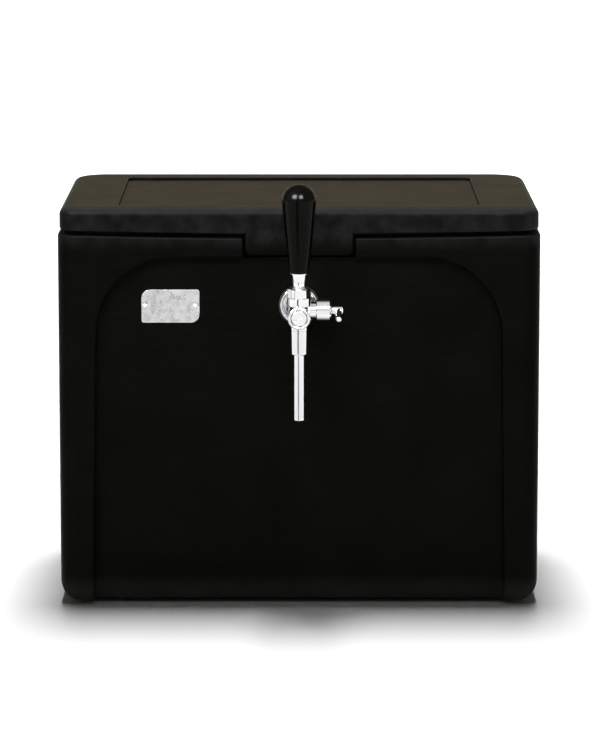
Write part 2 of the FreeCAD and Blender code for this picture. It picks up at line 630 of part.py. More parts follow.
def build_box():
    """The moulded box with its arched front panel, notch, grips and ice space."""
    body = new_body("body_skins")
    front = housing_outline("0", "rim_height", True)
    pad(body, new_sketch(body, "XZ", front), "body_depth", back=True)
    plan = box_plan(BODY_HALF, "0", "body_depth", "0")
    pocket(body, new_sketch(body, "XY", *ring_outside(plan)), back=True)
    rim = number("rim_height - seam_sag") - EQUAL
    round_edges(body, "rim_edge", lambda edge: edge.BoundBox.ZMin > rim)
    foot = f"({BODY_HALF} - post_foot)"
    shoulder = f"({BODY_HALF} - post_width)"
    spring = "(arch_top - arch_radius)"
    arch = [
        (f"(-{foot})", "0"),
        (foot, "0"),
        (shoulder, spring, "arch_radius"),
        (f"({shoulder} - arch_radius)", "arch_top"),
        (f"(arch_radius - {shoulder})", "arch_top", "arch_radius"),
        (f"(-{shoulder})", spring),
    ]
    pocket(body, new_sketch(body, "XZ", arch), "panel_inset")
    inset = number("panel_inset")
    low = number("foot_height + arch_edge")
    top = number("arch_top") + EQUAL
    reach = number(f"{BODY_HALF} - front_corner") - EQUAL

    def arch_edge(edge):
        box = edge.BoundBox
        flat = box.YLength < EQUAL and min(abs(box.YMin), abs(box.YMin - inset)) < EQUAL
        return flat and low < box.ZMax < top and abs(edge.Vertexes[0].X) < reach

    round_edges(body, "arch_edge", arch_edge)
    side = "(tongue_width / 2 + tongue_gap)"
    notch = [
        (f"(-{side})", "arch_top"),
        (side, "arch_top"),
        (side, "lid_top"),
        (f"(-{side})", "lid_top"),
    ]
    pocket(body, new_sketch(body, "XZ", notch), NOTCH_DEPTH)
    pocket(body, new_sketch(body, "XY", cavity_plan("0"), offset="floor_height"), back=True)
    floor = number("floor_height")
    round_edges(body, "cavity_fillet", lambda edge: abs(edge.BoundBox.ZMax - floor) < EQUAL)
    for sign, back in (("", True), ("-", False)):
        start = f"({sign}({BODY_HALF} - grip_depth))"
        pocket(body, new_sketch(body, "YZ", grip_outline("0"), offset=start), back=back)
    flank = number(BODY_HALF)
    grip_low = number("grip_top - grip_height") - EQUAL
    grip_high = number("grip_top") + EQUAL

    def grip_edge(edge):
        box = edge.BoundBox
        return box.XLength < EQUAL and abs(abs(box.XMin) - flank) < EQUAL and (
            grip_low < box.ZMin and box.ZMax < grip_high
        )

    round_edges(body, "grip_edge", grip_edge)
    wall_holes(body, "0")
    ports = [(x, "(body_depth / 2)", "port_radius") for x in ("port_spread", "(-port_spread)")]
    pocket(body, new_sketch(body, "XY", *ports, offset="foot_height"), "skin", back=True)
    feet = [(x, y, "screw_radius") for x, y in foot_places()]
    pocket(body, new_sketch(body, "XY", *feet, offset="foot_height"), "screw_bite", back=True)
    screws = [(x, z, "screw_radius") for x, z in hinge_screw_places(LOW_SCREWS)]
    pocket(body, new_sketch(body, "XZ", *screws, offset="(-body_depth)"), "screw_bite", back=True)
    rivets = [(x, "plate_z", "rivet_radius") for x in rivet_places()]
    pocket(body, new_sketch(body, "XZ", *rivets, offset="(-panel_inset)"), "screw_bite")
    place(body, y=FRONT)
    moulding = doc.addObject("Part::Cut", "Cut_body_moulding")
    moulding.Base = body
    moulding.Tool = wall_filling("wall_space", "skin")
    moulding.Label = "body_moulding"
    foam = wall_filling("body_foam", "(skin + foam_gap)")
    wall_holes(foam, "foam_gap")
    return [moulding, foam]


def foot_places():
    """Middles of the four feet in the plan of the box."""
    ys = ("foot_setback", "(body_depth - foot_setback)")
    return [(x, y) for x in ("(foot_spread / 2)", "(-foot_spread / 2)") for y in ys]


def hinge_screw_places(drop):
    """Screws of the two hinges seen from the front, at a height beside the axis."""
    row = f"(hinge_axis + {drop})"
    return [(f"({sign}hinge_spread / 2 + {step})", row) for sign in ("", "-") for step in HINGE_SCREWS]


def rivet_places():
    """Rivets of the plate across the box."""
    return ("(-plate_x - rivet_spread / 2)", "(-plate_x + rivet_spread / 2)")


def build_port_plugs():
    """Plugs that close the filling ports under the box."""
    outline = [
        ("0", "(-port_flange_thick)"),
        ("port_flange", "(-port_flange_thick)"),
        ("port_flange", "0"),
        ("(port_radius - port_plug_play)", "0"),
        ("(port_radius - port_plug_play)", "skin"),
        ("0", "skin"),
    ]
    plug = turned("port_plug", outline)
    middle = f"({FRONT} + body_depth / 2)"
    places = [(x, middle, "foot_height") for x in ("port_spread", "(-port_spread)")]
    return [spread("body_port_plugs", plug, places)]


def build_feet():
    """Four rubber feet, each held by a screw in a recess."""
    foot = new_body("foot")
    half = "(foot_size / 2)"
    square = rounded(f"(-{half})", half, f"(-{half})", half, "foot_corner")
    pad(foot, new_sketch(foot, "XY", square, ("0", "0", "(screw_radius + screw_play)")), "foot_height")
    pocket(foot, new_sketch(foot, "XY", ("0", "0", "foot_recess")), "foot_recess_depth", back=True)
    screw = turned("foot_screw", screw_outline("foot_height - foot_recess_depth"))
    places = [(x, f"({FRONT} + {y})", "0") for x, y in foot_places()]
    heads = [(x, y, "foot_recess_depth") for x, y, z in places]
    return [spread("rubber_feet", foot, places), spread("foot_screws", screw, heads)]


def screw_outline(held):
    """A pan-head screw whose head sits on Z = 0 and which holds a given thickness."""
    return [
        ("0", "(-screw_head_thick)"),
        ("(screw_head - coarse_break)", "(-screw_head_thick)"),
        ("screw_head", "(coarse_break - screw_head_thick)"),
        ("screw_head", "0"),
        ("screw_radius", "0"),
        ("screw_radius", f"({held} + screw_bite - blind_play)"),
        ("0", f"({held} + screw_bite - blind_play)"),
    ]


def build_lid():
    """The moulded lid with its tray, finger tab and inner plug, and the foam inside it."""
    body = new_body("lid_skins")
    low = seam_height(LID_HALF, "seam_gap")
    front = [
        (f"(-{LID_HALF})", low, SEAM_RADIUS),
        (LID_HALF, low),
        (LID_HALF, "lid_top"),
        (f"(-{LID_HALF})", "lid_top"),
    ]
    pad(body, new_sketch(body, "XZ", front), "body_depth", back=True)
    plan = box_plan(LID_HALF, "0", "body_depth", "0")
    pocket(body, new_sketch(body, "XY", *ring_outside(plan)), back=True)
    top = number("lid_top")
    round_edges(body, "lid_edge", lambda edge: abs(edge.BoundBox.ZMin - top) < EQUAL)
    tray_half = f"({LID_HALF} - lid_margin)"
    tray = rounded(f"(-{tray_half})", tray_half, "tray_front", "(body_depth - tray_rear)", "tray_corner")
    pocket(body, new_sketch(body, "XY", tray, offset="lid_top"), "tray_depth")
    tray_line = number(f"{tray_half}") + EQUAL

    def tray_edge(edge):
        box = edge.BoundBox
        return box.ZMin > top - EQUAL and max(abs(box.XMin), abs(box.XMax)) < tray_line

    round_edges(body, "tray_edge", tray_edge)
    side = "(tongue_width / 2)"
    tab = [
        ("(tongue_corner - tongue_width / 2)", "tongue_bottom"),
        ("(tongue_width / 2 - tongue_corner)", "tongue_bottom", "tongue_corner"),
        (side, "(tongue_bottom + tongue_corner)"),
        (side, "(rim_height + 2 * seam_gap)"),
        (f"(-{side})", "(rim_height + 2 * seam_gap)"),
        (f"(-{side})", "(tongue_bottom + tongue_corner)", "tongue_corner"),
    ]
    pad(body, new_sketch(body, "XZ", tab), "tongue_thickness", back=True)
    lip = number("rim_height + seam_gap") + EQUAL
    tab_side = number(side) + EQUAL

    def lip_edge(edge):
        box = edge.BoundBox
        outer = box.YMax < EQUAL or max(abs(box.XMin), abs(box.XMax)) > tab_side
        return box.ZMax < lip and outer

    round_edges(body, "lid_lip", lip_edge)
    plug = cavity_plan("(-plug_gap)")
    plug_low = "(rim_height - plug_drop)"
    pad(body, new_sketch(body, "XY", plug, offset=plug_low), "(plug_drop + 2 * seam_gap)")
    port = ("0", "(body_depth / 2)", "port_radius")
    pocket(body, new_sketch(body, "XY", port, offset=plug_low), "skin", back=True)
    screws = [(x, z, "screw_radius") for x, z in hinge_screw_places(HIGH_SCREWS)]
    pocket(body, new_sketch(body, "XZ", *screws, offset="(-body_depth)"), "screw_bite", back=True)
    place(body, y=FRONT)
    moulding = doc.addObject("Part::Cut", "Cut_lid_moulding")
    moulding.Base = body
    moulding.Tool = lid_filling("lid_space", "skin")
    moulding.Label = "lid_moulding"
    foam = lid_filling("lid_foam", "(skin + foam_gap)")
    plug_outline = [
        ("0", "(-port_flange_thick)"),
        ("port_flange", "(-port_flange_thick)"),
        ("port_flange", "0"),
        ("(port_radius - port_plug_play)", "0"),
        ("(port_radius - port_plug_play)", "skin"),
        ("0", "skin"),
    ]
    cover = turned("lid_port_plug", plug_outline, y=f"({FRONT} + body_depth / 2)", z=plug_low)
    return [moulding, foam, cover]


def lid_filling(name, inset):
    """The space between the skins of the lid, or the foam that fills it."""
    body = new_body(name)
    half = f"({LID_HALF} - {inset})"
    plan = box_plan(half, inset, f"(body_depth - {inset})", inset)
    low = f"(rim_height + seam_gap + {inset})"
    pad(body, new_sketch(body, "XY", plan, offset=low), f"(lid_top - tray_depth - {inset} - {low})")
    plug_low = f"(rim_height - plug_drop + {inset})"
    plug = cavity_plan(f"(-plug_gap - {inset})")
    pad(body, new_sketch(body, "XY", plug, offset=plug_low), f"({low} - {plug_low} + overcut)")
    return place(body, y=FRONT)


def build_rim_gasket():
    """The soft strip in the seam, which lies on the rim behind the notch."""
    body = new_body("rim_gasket")
    half = f"({BODY_HALF} - gasket_edge)"
    low = seam_height(half)
    high = seam_height(half, "seam_gap - gasket_play")
    strip = [
        (f"(-{half})", low, SEAM_RADIUS),
        (half, low),
        (half, high, f"(-{SEAM_RADIUS})"),
        (f"(-{half})", high),
    ]
    pad(body, new_sketch(body, "XZ", strip), "body_depth", back=True)
    front = f"({NOTCH_DEPTH} + gasket_inner)"
    outside = rounded(f"(-{half})", half, front, "(body_depth - gasket_edge)", "(rear_corner - gasket_edge)")
    pocket(body, new_sketch(body, "XY", *ring_outside(outside)), back=True)
    pocket(body, new_sketch(body, "XY", cavity_plan("gasket_inner")), back=True)
    return [place(body, y=FRONT)]


def hinge_leaf(name, reach, centre):
    """Half a hinge on the back of the box: the body's half has the outer knuckles."""
    body = new_body(name)
    off = "(knuckle_off + knuckle_radius)"
    edges = ("0", f"({reach})") if centre else (f"(-{reach})", "0")
    plate = [
        (f"(-{off})", edges[0]),
        (f"(leaf_thick - {off})", edges[0]),
        (f"(leaf_thick - {off})", edges[1]),
        (f"(-{off})", edges[1]),
    ]
    pad(body, new_sketch(body, "YZ", plate), "hinge_width", middle=True)
    pad(body, new_sketch(body, "YZ", ("0", "0", "knuckle_radius")), "hinge_width", middle=True)
    clear = ("0", "0", "(knuckle_radius + hinge_play)")
    if centre:
        for sign, back in (("", True), ("-", False)):
            pocket(body, new_sketch(body, "YZ", clear, offset=f"({sign}hinge_centre / 2)"), back=back)
    else:
        pocket(body, new_sketch(body, "YZ", clear), "(hinge_centre + 2 * hinge_play)", middle=True)
    bore = new_sketch(body, "YZ", ("0", "0", "(pin_radius + pin_play)"))
    pocket(body, bore, "(2 * hinge_width)", middle=True)
    row = HIGH_SCREWS if centre else LOW_SCREWS
    holes = [(step, row, "(screw_radius + screw_play)") for step in HINGE_SCREWS]
    pocket(body, new_sketch(body, "XZ", *holes, offset=off), "(2 * leaf_thick)")
    return body


def build_hinges():
    """Two hinges with their pins and screws."""
    places = [(x, HINGE_Y, "hinge_axis") for x in ("(hinge_spread / 2)", "(-hinge_spread / 2)")]
    length = "(hinge_width / 2)"
    pin_outline = [
        ("0", f"(-{length} - pin_head_thick)"),
        ("pin_head", f"(-{length} - pin_head_thick)"),
        ("pin_head", f"(-{length})"),
        ("pin_radius", f"(-{length})"),
        ("pin_radius", length),
        ("pin_head", length),
        ("pin_head", f"({length} + pin_head_thick)"),
        ("0", f"({length} + pin_head_thick)"),
    ]
    pin = turned("hinge_pin", pin_outline, **FACING_RIGHT)
    screw = turned("hinge_screw", screw_outline("leaf_thick"), **FACING_FRONT)
    head = f"({REAR} + leaf_thick)"
    groups = [
        spread("hinge_body_leaves", hinge_leaf("body_leaf", "leaf_low", False), places),
        spread("hinge_lid_leaves", hinge_leaf("lid_leaf", "leaf_high", True), places),
        spread("hinge_pins", pin, places),
    ]
    for name, drop in (("hinge_body_screws", LOW_SCREWS), ("hinge_lid_screws", HIGH_SCREWS)):
        groups.append(spread(name, screw, [(x, head, z) for x, z in hinge_screw_places(drop)]))
    return groups


def build_plate():
    """The bare plate on the panel and its two rivets."""
    plate = new_body("name_plate")
    x_low = "(-plate_width / 2)"
    x_high = "(plate_width / 2)"
    low = "(-plate_height / 2)"
    high = "(plate_height / 2)"
    outline = [
        (f"({x_low} + plate_corner)", low),
        (f"({x_high} - plate_round)", low, "plate_round"),
        (x_high, f"({low} + plate_round)"),
        (x_high, f"({high} - plate_corner)", "plate_corner"),
        (f"({x_high} - plate_corner)", high),
        (f"({x_low} + plate_round)", high, "plate_round"),
        (x_low, f"({high} - plate_round)"),
        (x_low, f"({low} + plate_corner)", "plate_corner"),
    ]
    holes = [(x, "0", "(rivet_radius + screw_play)") for x in ("(-rivet_spread / 2)", "(rivet_spread / 2)")]
    pad(plate, new_sketch(plate, "XZ", outline, *holes), "plate_thick")
    place(plate, "(-plate_x)", PANEL, "plate_z")
    rivet = turned(
        "rivet",
        [
            ("0", "(blind_play - screw_bite)"),
            ("rivet_radius", "(blind_play - screw_bite)"),
            ("rivet_radius", "0"),
            ("rivet_head", "0", "((rivet_head^2 + rivet_rise^2) / (2 * rivet_rise))"),
            ("0", "rivet_rise"),
        ],
        **FACING_FRONT,
    )
    places = [(x, f"({PANEL} - plate_thick)", "plate_z") for x in rivet_places()]
    return [plate, spread("plate_rivets", rivet, places)]


def hexagon(flats):
    """Six corners of a nut, with flats above and below."""
    corner = f"({flats} / sqrt(3))"
    half = f"({corner} / 2)"
    side = f"({flats} / 2)"
    return [
        (corner, "0"),
        (half, side),
        (f"(-{half})", side),
        (f"(-{corner})", "0"),
        (f"(-{half})", f"(-{side})"),
        (half, f"(-{side})"),
    ]


def hex_nut(name, flats, bore, thick):
    """A hexagon nut that starts at its own origin and runs along Z."""
    body = new_body(name)
    pad(body, new_sketch(body, "XY", hexagon(flats), ("0", "0", bore)), thick)
    return body


def on_tap(piece):
    """Place a piece so that its Z axis is the tap's barrel, measured from the front panel."""
    return place(piece, "0", PANEL, "tap_axis", **FACING_FRONT)


def build_shank():
    """The shank through the wall with the gasket, the rosette and the nuts that clamp them."""
    front = f"({BARREL_START} + shank_bite)"
    inner = "(-wall - shank_inside)"
    shank = turned(
        "tap_shank",
        [("shank_bore", inner), ("shank_radius", inner), ("shank_radius", front), ("shank_bore", front)],
    )
    gasket = turned(
        "rosette_gasket",
        [
            ("(shank_radius + shank_play)", "0"),
            ("gasket_radius", "0"),
            ("gasket_radius", "gasket_thick"),
            ("(shank_radius + shank_play)", "gasket_thick"),
        ],
    )
    rosette = turned(
        "rosette",
        [
            ("(shank_radius + thread_play)", "gasket_thick"),
            ("rosette_radius", "gasket_thick"),
            ("rosette_radius", "(gasket_thick + rosette_rim)", "(rosette_thick - rosette_rim)"),
            ("(rosette_radius - rosette_thick + rosette_rim)", BARREL_START),
            ("(shank_radius + thread_play)", BARREL_START),
        ],
    )
    locknut = hex_nut("shank_locknut", "nut_flats", "(shank_radius + thread_play)", "nut_thick")
    place(locknut, "0", f"({PANEL} + wall)", "tap_axis", **FACING_REAR)
    end = "(wall + shank_inside)"
    tail = tail_nut("coil_outlet_nut", "shank_radius", "(shank_inside - nut_thick - tail_nut_gap)")
    place(tail, "0", f"({PANEL} + {end})", "tap_axis", **FACING_REAR)
    return [on_tap(shank), on_tap(gasket), on_tap(rosette), locknut, tail]


def tail_nut(name, thread, grip):
    """A nut that clamps the coil's tube to the end of a shank at its own origin."""
    bore = f"({thread} + thread_play)"
    return turned(
        name,
        [
            (bore, f"(-{grip})"),
            ("tail_nut_radius", f"(-{grip})"),
            ("tail_nut_radius", f"(tail_nut_length - {grip} - tail_nut_break)"),
            ("(tail_nut_radius - tail_nut_break)", f"(tail_nut_length - {grip})"),
            ("(coil_tube + thread_play)", f"(tail_nut_length - {grip})"),
            ("(coil_tube + thread_play)", "0"),
            (bore, "0"),
        ],
    )


def build_tap_body():
    """The cast tap body: barrel, upright boss, side boss and spout boss, bored through."""
    body = new_body("tap_body")
    start = BARREL_START
    outline = [
        ("0", start),
        ("barrel_flange", start),
        ("barrel_flange", f"({start} + barrel_flange_thick)"),
        ("barrel_radius", f"({start} + barrel_flange_thick + barrel_flange - barrel_radius)"),
        ("barrel_radius", BARREL_END),
        ("0", BARREL_END),
    ]
    turn(body, new_sketch(body, "XZ", outline))
    boss = new_sketch(body, "XZ", ("0", "lever_reach", "boss_radius"))
    pad(body, boss, "boss_lift", back=True)
    neck = new_sketch(body, "XZ", ("0", "lever_reach", "neck_radius"))
    pad(body, neck, "(boss_lift + neck_rise)", back=True)
    pad(body, new_sketch(body, "XZ", ("0", "spout_reach", "spout_boss")), "spout_boss_drop")
    pad(body, new_sketch(body, "YZ", ("0", "flow_reach", "side_boss")), "side_boss_out")
    pad(body, new_sketch(body, "YZ", ("0", "flow_reach", "side_thread")), "side_thread_out")
    bore = [
        ("0", f"({start} - overcut)"),
        ("(shank_radius + thread_play)", f"({start} - overcut)"),
        ("(shank_radius + thread_play)", f"({start} + shank_bite)"),
        ("flow_rear_bore", f"({start} + shank_bite)"),
        ("flow_front_bore", "flow_taper_end"),
        ("flow_front_bore", "seat_start"),
        ("barrel_seat_bore", "seat_start"),
        ("barrel_seat_bore", "seat_end"),
        ("barrel_wide_bore", "seat_end"),
        ("barrel_wide_bore", f"({BARREL_END} + overcut)"),
        ("0", f"({BARREL_END} + overcut)"),
    ]
    turn(body, new_sketch(body, "XZ", bore), cut=True)
    socket = "(ball_radius + ball_play)"
    upright = new_sketch(body, "XZ", ("0", "lever_reach", "throat_radius"))
    pocket(body, upright, "(boss_lift + neck_rise)")
    ledge = "(ball_lift - seat_ring_drop)"
    cup = new_sketch(body, "XZ", ("0", "lever_reach", socket), offset=f"(-{ledge})")
    pocket(body, cup)
    port = new_sketch(body, "XZ", ("0", "spout_reach", "body_port"))
    pocket(body, port, back=True)
    tapped = ("0", "spout_reach", "(spout_spigot + thread_play)")
    thread = new_sketch(body, "XZ", tapped, offset="(spout_boss_drop - spout_spigot_rise)")
    pocket(body, thread, back=True)
    stem = new_sketch(body, "YZ", ("0", "flow_reach", "(stem_radius + stem_play)"))
    pocket(body, stem, back=True)
    well = new_sketch(body, "YZ", ("0", "flow_reach", "side_seal_radius"), offset="side_seal_in")
    pocket(body, well, back=True)
    return [on_tap(body)]


def ball_height(radius, ball, sign):
    """Height above the ball's centre at which its surface has a given radius."""
    return f"({sign}sqrt({ball}^2 - {radius}^2))"


def build_lever():
    """The ball lever, the ring it turns on, the nut over it, the ferrule and the handle."""
    arm = "arm_radius"
    lever = turned(
        "tap_lever",
        [
            ("0", "(-ball_lift - arm_ball)", "arm_ball"),
            (arm, f"({ball_height(arm, 'arm_ball', '')} - ball_lift)"),
            (arm, ball_height(arm, "ball_radius", "-"), "ball_radius"),
            ("lever_neck", ball_height("lever_neck", "ball_radius", "")),
            ("lever_neck", "lever_neck_top"),
            ("stud_radius", "lever_neck_top"),
            ("stud_radius", "stud_top"),
            ("0", "stud_top"),
        ],
        "0",
        LEVER_Y,
        BALL_Z,
    )
    socket = "(ball_radius + ball_play)"
    ring_out = f"({socket} - seat_ring_play)"
    near = "(ball_radius + seat_ring_play)"
    top = "(-seat_ring_top)"
    ring = turned(
        "ball_seat",
        [
            ("throat_radius", "(-seat_ring_drop)"),
            (ring_out, "(-seat_ring_drop)"),
            (ring_out, top),
            (f"(sqrt({near}^2 - seat_ring_top^2))", top, f"(-{near})"),
            ("throat_radius", f"(-sqrt({near}^2 - throat_radius^2))"),
        ],
        "0",
        LEVER_Y,
        BALL_Z,
    )
    shoulder = "(boss_lift - ball_lift)"
    neck_top = f"({shoulder} + neck_rise + end_play)"
    bonnet = turned(
        "bonnet_nut",
        [
            ("(neck_radius + thread_play)", shoulder),
            ("boss_radius", shoulder),
            ("boss_radius", "(bonnet_top - edge_break)"),
            ("(boss_radius - edge_break)", "bonnet_top"),
            (f"(sqrt({socket}^2 - bonnet_top^2))", "bonnet_top", f"(-{socket})"),
            (socket, "0"),
            (socket, neck_top),
            ("(neck_radius + thread_play)", neck_top),
        ],
        "0",
        LEVER_Y,
        BALL_Z,
    )
    ferrule = turned(
        "handle_ferrule",
        [
            ("(stud_radius + thread_play)", "lever_neck_top"),
            ("lever_neck", "lever_neck_top"),
            ("handle_foot", "ferrule_top"),
            ("(stud_radius + thread_play)", "ferrule_top"),
        ],
        "0",
        LEVER_Y,
        BALL_Z,
    )
    handle = turned(
        "tap_handle",
        [
            ("(stud_radius + thread_play)", "ferrule_top"),
            ("handle_foot", "ferrule_top", "handle_side"),
            ("handle_head", "handle_shoulder", "handle_head"),
            ("0", "(handle_shoulder + handle_head)"),
            ("0", "(stud_top + stud_gap)"),
            ("(stud_radius + thread_play)", "(stud_top + stud_gap)"),
        ],
        "0",
        LEVER_Y,
        BALL_Z,
    )
    return [lever, ring, bonnet, ferrule, handle]


def build_slide():
    """The slide that the lever pushes along the barrel, and its rubber ring."""
    body = new_body("valve_slide")
    land = "(barrel_seat_bore - slide_play)"
    groove = f"({land} - slide_ring_groove)"
    guide = "(barrel_wide_bore - slide_play)"
    middle = "((slide_seal_rear + slide_seal_front) / 2)"
    ring_rear = f"({middle} - slide_ring_width / 2)"
    ring_front = f"({middle} + slide_ring_width / 2)"
    outline = [
        ("0", "slide_seal_rear"),
        (land, "slide_seal_rear"),
        (land, ring_rear),
        (groove, ring_rear),
        (groove, ring_front),
        (land, ring_front),
        (land, "slide_seal_front"),
        ("slide_rod", "slide_seal_front"),
        ("slide_rod", "slide_guide_rear"),
        (guide, "slide_guide_rear"),
        (guide, "slide_guide_front"),
        ("0", "slide_guide_front"),
    ]
    turn(body, new_sketch(body, "XZ", outline))
    wide = "(2 * barrel_wide_bore)"
    flat = [
        (f"(-{wide})", "slide_guide_rear"),
        (wide, "slide_guide_rear"),
        (wide, "slide_guide_front"),
        (f"(-{wide})", "slide_guide_front"),
    ]
    pocket(body, new_sketch(body, "XZ", flat, offset="(-slide_top_flat)"))
    pocket(body, new_sketch(body, "XZ", flat, offset="slide_low_flat"), back=True)
    pocket(body, new_sketch(body, "XZ", ("0", "lever_reach", "(arm_ball + arm_play)")), wide, middle=True)
    ring = turned(
        "slide_seal",
        [
            (groove, f"({ring_rear} + ring_play)"),
            ("(barrel_seat_bore - ring_squeeze)", f"({ring_rear} + ring_play)"),
            ("(barrel_seat_bore - ring_squeeze)", f"({ring_front} - ring_play)"),
            (groove, f"({ring_front} - ring_play)"),
        ],
    )
    return [on_tap(body), on_tap(ring)]


def build_cap():
    """The round cap that closes the barrel in front and the slotted screw in it."""
    spigot = f"({BARREL_END} - cap_spigot)"
    floor = f"({CAP_END} - cap_recess_depth)"
    cap = turned(
        "front_cap",
        [
            ("(plug_screw_shank + thread_play)", spigot),
            ("(barrel_wide_bore - thread_play)", spigot),
            ("(barrel_wide_bore - thread_play)", BARREL_END),
            ("cap_radius", BARREL_END),
            ("cap_radius", f"({CAP_END} - coarse_break)"),
            ("(cap_radius - coarse_break)", CAP_END),
            ("cap_recess", CAP_END),
            ("cap_recess", floor),
            ("(plug_screw_shank + thread_play)", floor),
        ],
    )
    screw = new_body("cap_screw")
    top = f"({floor} + plug_screw_thick)"
    outline = [
        ("0", f"({spigot} + plug_screw_gap)"),
        ("plug_screw_shank", f"({spigot} + plug_screw_gap)"),
        ("plug_screw_shank", floor),
        ("plug_screw_radius", floor),
        ("plug_screw_radius", f"({top} - fine_break)"),
        ("(plug_screw_radius - fine_break)", top),
        ("0", top),
    ]
    turn(screw, new_sketch(screw, "XZ", outline))
    half = "(slot_width / 2)"
    long = "(2 * plug_screw_radius)"
    slot = [(f"(-{long})", f"(-{half})"), (long, f"(-{half})"), (long, half), (f"(-{long})", half)]
    cut = new_sketch(screw, "XY", slot, offset=f"({top} - slot_depth)")
    cut.setExpression("AttachmentOffset.Rotation.Angle", bound("slot_angle"))
    pocket(screw, cut, back=True)
    return [on_tap(cap), on_tap(screw)]


def build_spout():
    """The spout: a thick threaded head and a straight tube."""
    top = "(-spout_boss_drop)"
    low = f"({top} - spout_head_length)"
    spout = turned(
        "spout",
        [
            ("spout_port", f"({low} - spout_tube_length)"),
            ("spout_tube", f"({low} - spout_tube_length)"),
            ("spout_tube", low),
            ("(spout_head_low - edge_break)", low),
            ("spout_head_low", f"({low} + edge_break)"),
            ("spout_head_top", top),
            ("(spout_spigot - thread_play)", top),
            ("(spout_spigot - thread_play)", f"({top} + spout_spigot_rise - blind_play)"),
            ("spout_port", f"({top} + spout_spigot_rise - blind_play)"),
        ],
        "0",
        f"({PANEL} - spout_reach)",
        "tap_axis",
    )
    return [spout]


def beside_tap(piece):
    """Place a piece so that its Z axis is the compensator's axis, measured from the barrel."""
    return place(piece, "0", f"({PANEL} - flow_reach)", "tap_axis", **FACING_RIGHT)


def build_compensator():
    """The flow compensator: cone, spindle with its crank pin, seal, knurled nut and small lever."""
    cone = new_body("compensator_cone")

    def cone_radius(reach):
        slope = f"(flow_rear_bore - flow_front_bore) / (flow_taper_end - {BARREL_START} - shank_bite)"
        return f"(flow_front_bore + (flow_taper_end - {reach}) * {slope} - cone_gap)"

    outline = [
        ("0", "cone_rear"),
        (cone_radius("cone_rear"), "cone_rear"),
        (cone_radius("cone_front"), "cone_front"),
        ("0", "cone_front"),
    ]
    turn(cone, new_sketch(cone, "XZ", outline))
    half = "(crank_radius + crank_play)"
    wide = "(2 * flow_rear_bore)"
    slot = [
        (f"(flow_reach - {half})", f"(-{wide})"),
        (f"(flow_reach + {half})", f"(-{wide})"),
        (f"(flow_reach + {half})", wide),
        (f"(flow_reach - {half})", wide),
    ]
    slot = [(y, x) for x, y in slot]
    pocket(cone, new_sketch(cone, "YZ", slot, offset="(crank_in - crank_end_play)"), back=True)
    stem = new_body("compensator_spindle")
    outline = [
        ("0", "stem_in"),
        ("stem_radius", "stem_in"),
        ("stem_radius", "stem_collar_in"),
        ("(side_seal_radius - side_seal_play)", "stem_collar_in"),
        ("(side_seal_radius - side_seal_play)", "stem_collar_out"),
        ("stem_radius", "stem_collar_out"),
        ("stem_radius", "(knob_out + end_play)"),
        ("stem_head", "(knob_out + end_play)"),
        ("stem_head", "(stem_out - edge_break)"),
        ("(stem_head - edge_break)", "stem_out"),
        ("0", "stem_out"),
    ]
    turn(stem, new_sketch(stem, "XZ", outline))
    pin = new_sketch(stem, "XY", ("crank_throw", "0", "crank_radius"), offset="crank_in")
    pad(stem, pin, "(stem_in - crank_in)")
    hole = new_sketch(stem, "XZ", ("0", "flow_lever_x", "(flow_lever_radius + thread_play)"))
    hole.AttachmentOffset = Placement(Vector(), Rotation(Vector(0, 1, 0), number("flow_lever_drop")))
    hole.setExpression("AttachmentOffset.Rotation.Angle", bound("flow_lever_drop"))
    pocket(stem, hole, "(4 * stem_head)", middle=True)
    seal = turned(
        "compensator_seal",
        [
            ("(stem_radius + ring_squeeze)", "(side_seal_in + side_seal_play)"),
            ("(side_seal_radius - ring_squeeze)", "(side_seal_in + side_seal_play)"),
            ("(side_seal_radius - ring_squeeze)", "(side_seal_in + side_seal_thick)"),
            ("(stem_radius + ring_squeeze)", "(side_seal_in + side_seal_thick)"),
        ],
    )
    knob = new_body("compensator_nut")
    outline = [
        ("(side_thread + thread_play)", "knob_in"),
        ("(knob_radius - fine_break)", "knob_in"),
        ("knob_radius", "(knob_in + fine_break)"),
        ("knob_radius", "(knob_out - knob_chamfer)"),
        ("(knob_radius - knob_chamfer)", "knob_out"),
        ("(stem_radius + stem_play)", "knob_out"),
        ("(stem_radius + stem_play)", "knob_wall"),
        ("(side_thread + thread_play)", "knob_wall"),
    ]
    turn(knob, new_sketch(knob, "XZ", outline))
    groove = pocket(knob, new_sketch(knob, "XY", ("knob_radius", "0", "knob_groove")), back=True)
    pattern(knob, groove, "knob_grooves")
    lever = turned(
        "compensator_lever",
        [
            ("0", "(-flow_lever_back)"),
            ("flow_lever_radius", "(-flow_lever_back)"),
            ("flow_lever_radius", "flow_lever_length", "flow_lever_radius"),
            ("0", "(flow_lever_length + flow_lever_radius)"),
        ],
        "flow_lever_x",
        f"({PANEL} - flow_reach)",
        "tap_axis",
        **FACING_FRONT,
    )
    lever.setExpression("Placement.Rotation.Angle", bound("90 + flow_lever_drop"))
    return [on_tap(cone), beside_tap(stem), beside_tap(seal), beside_tap(knob), lever]


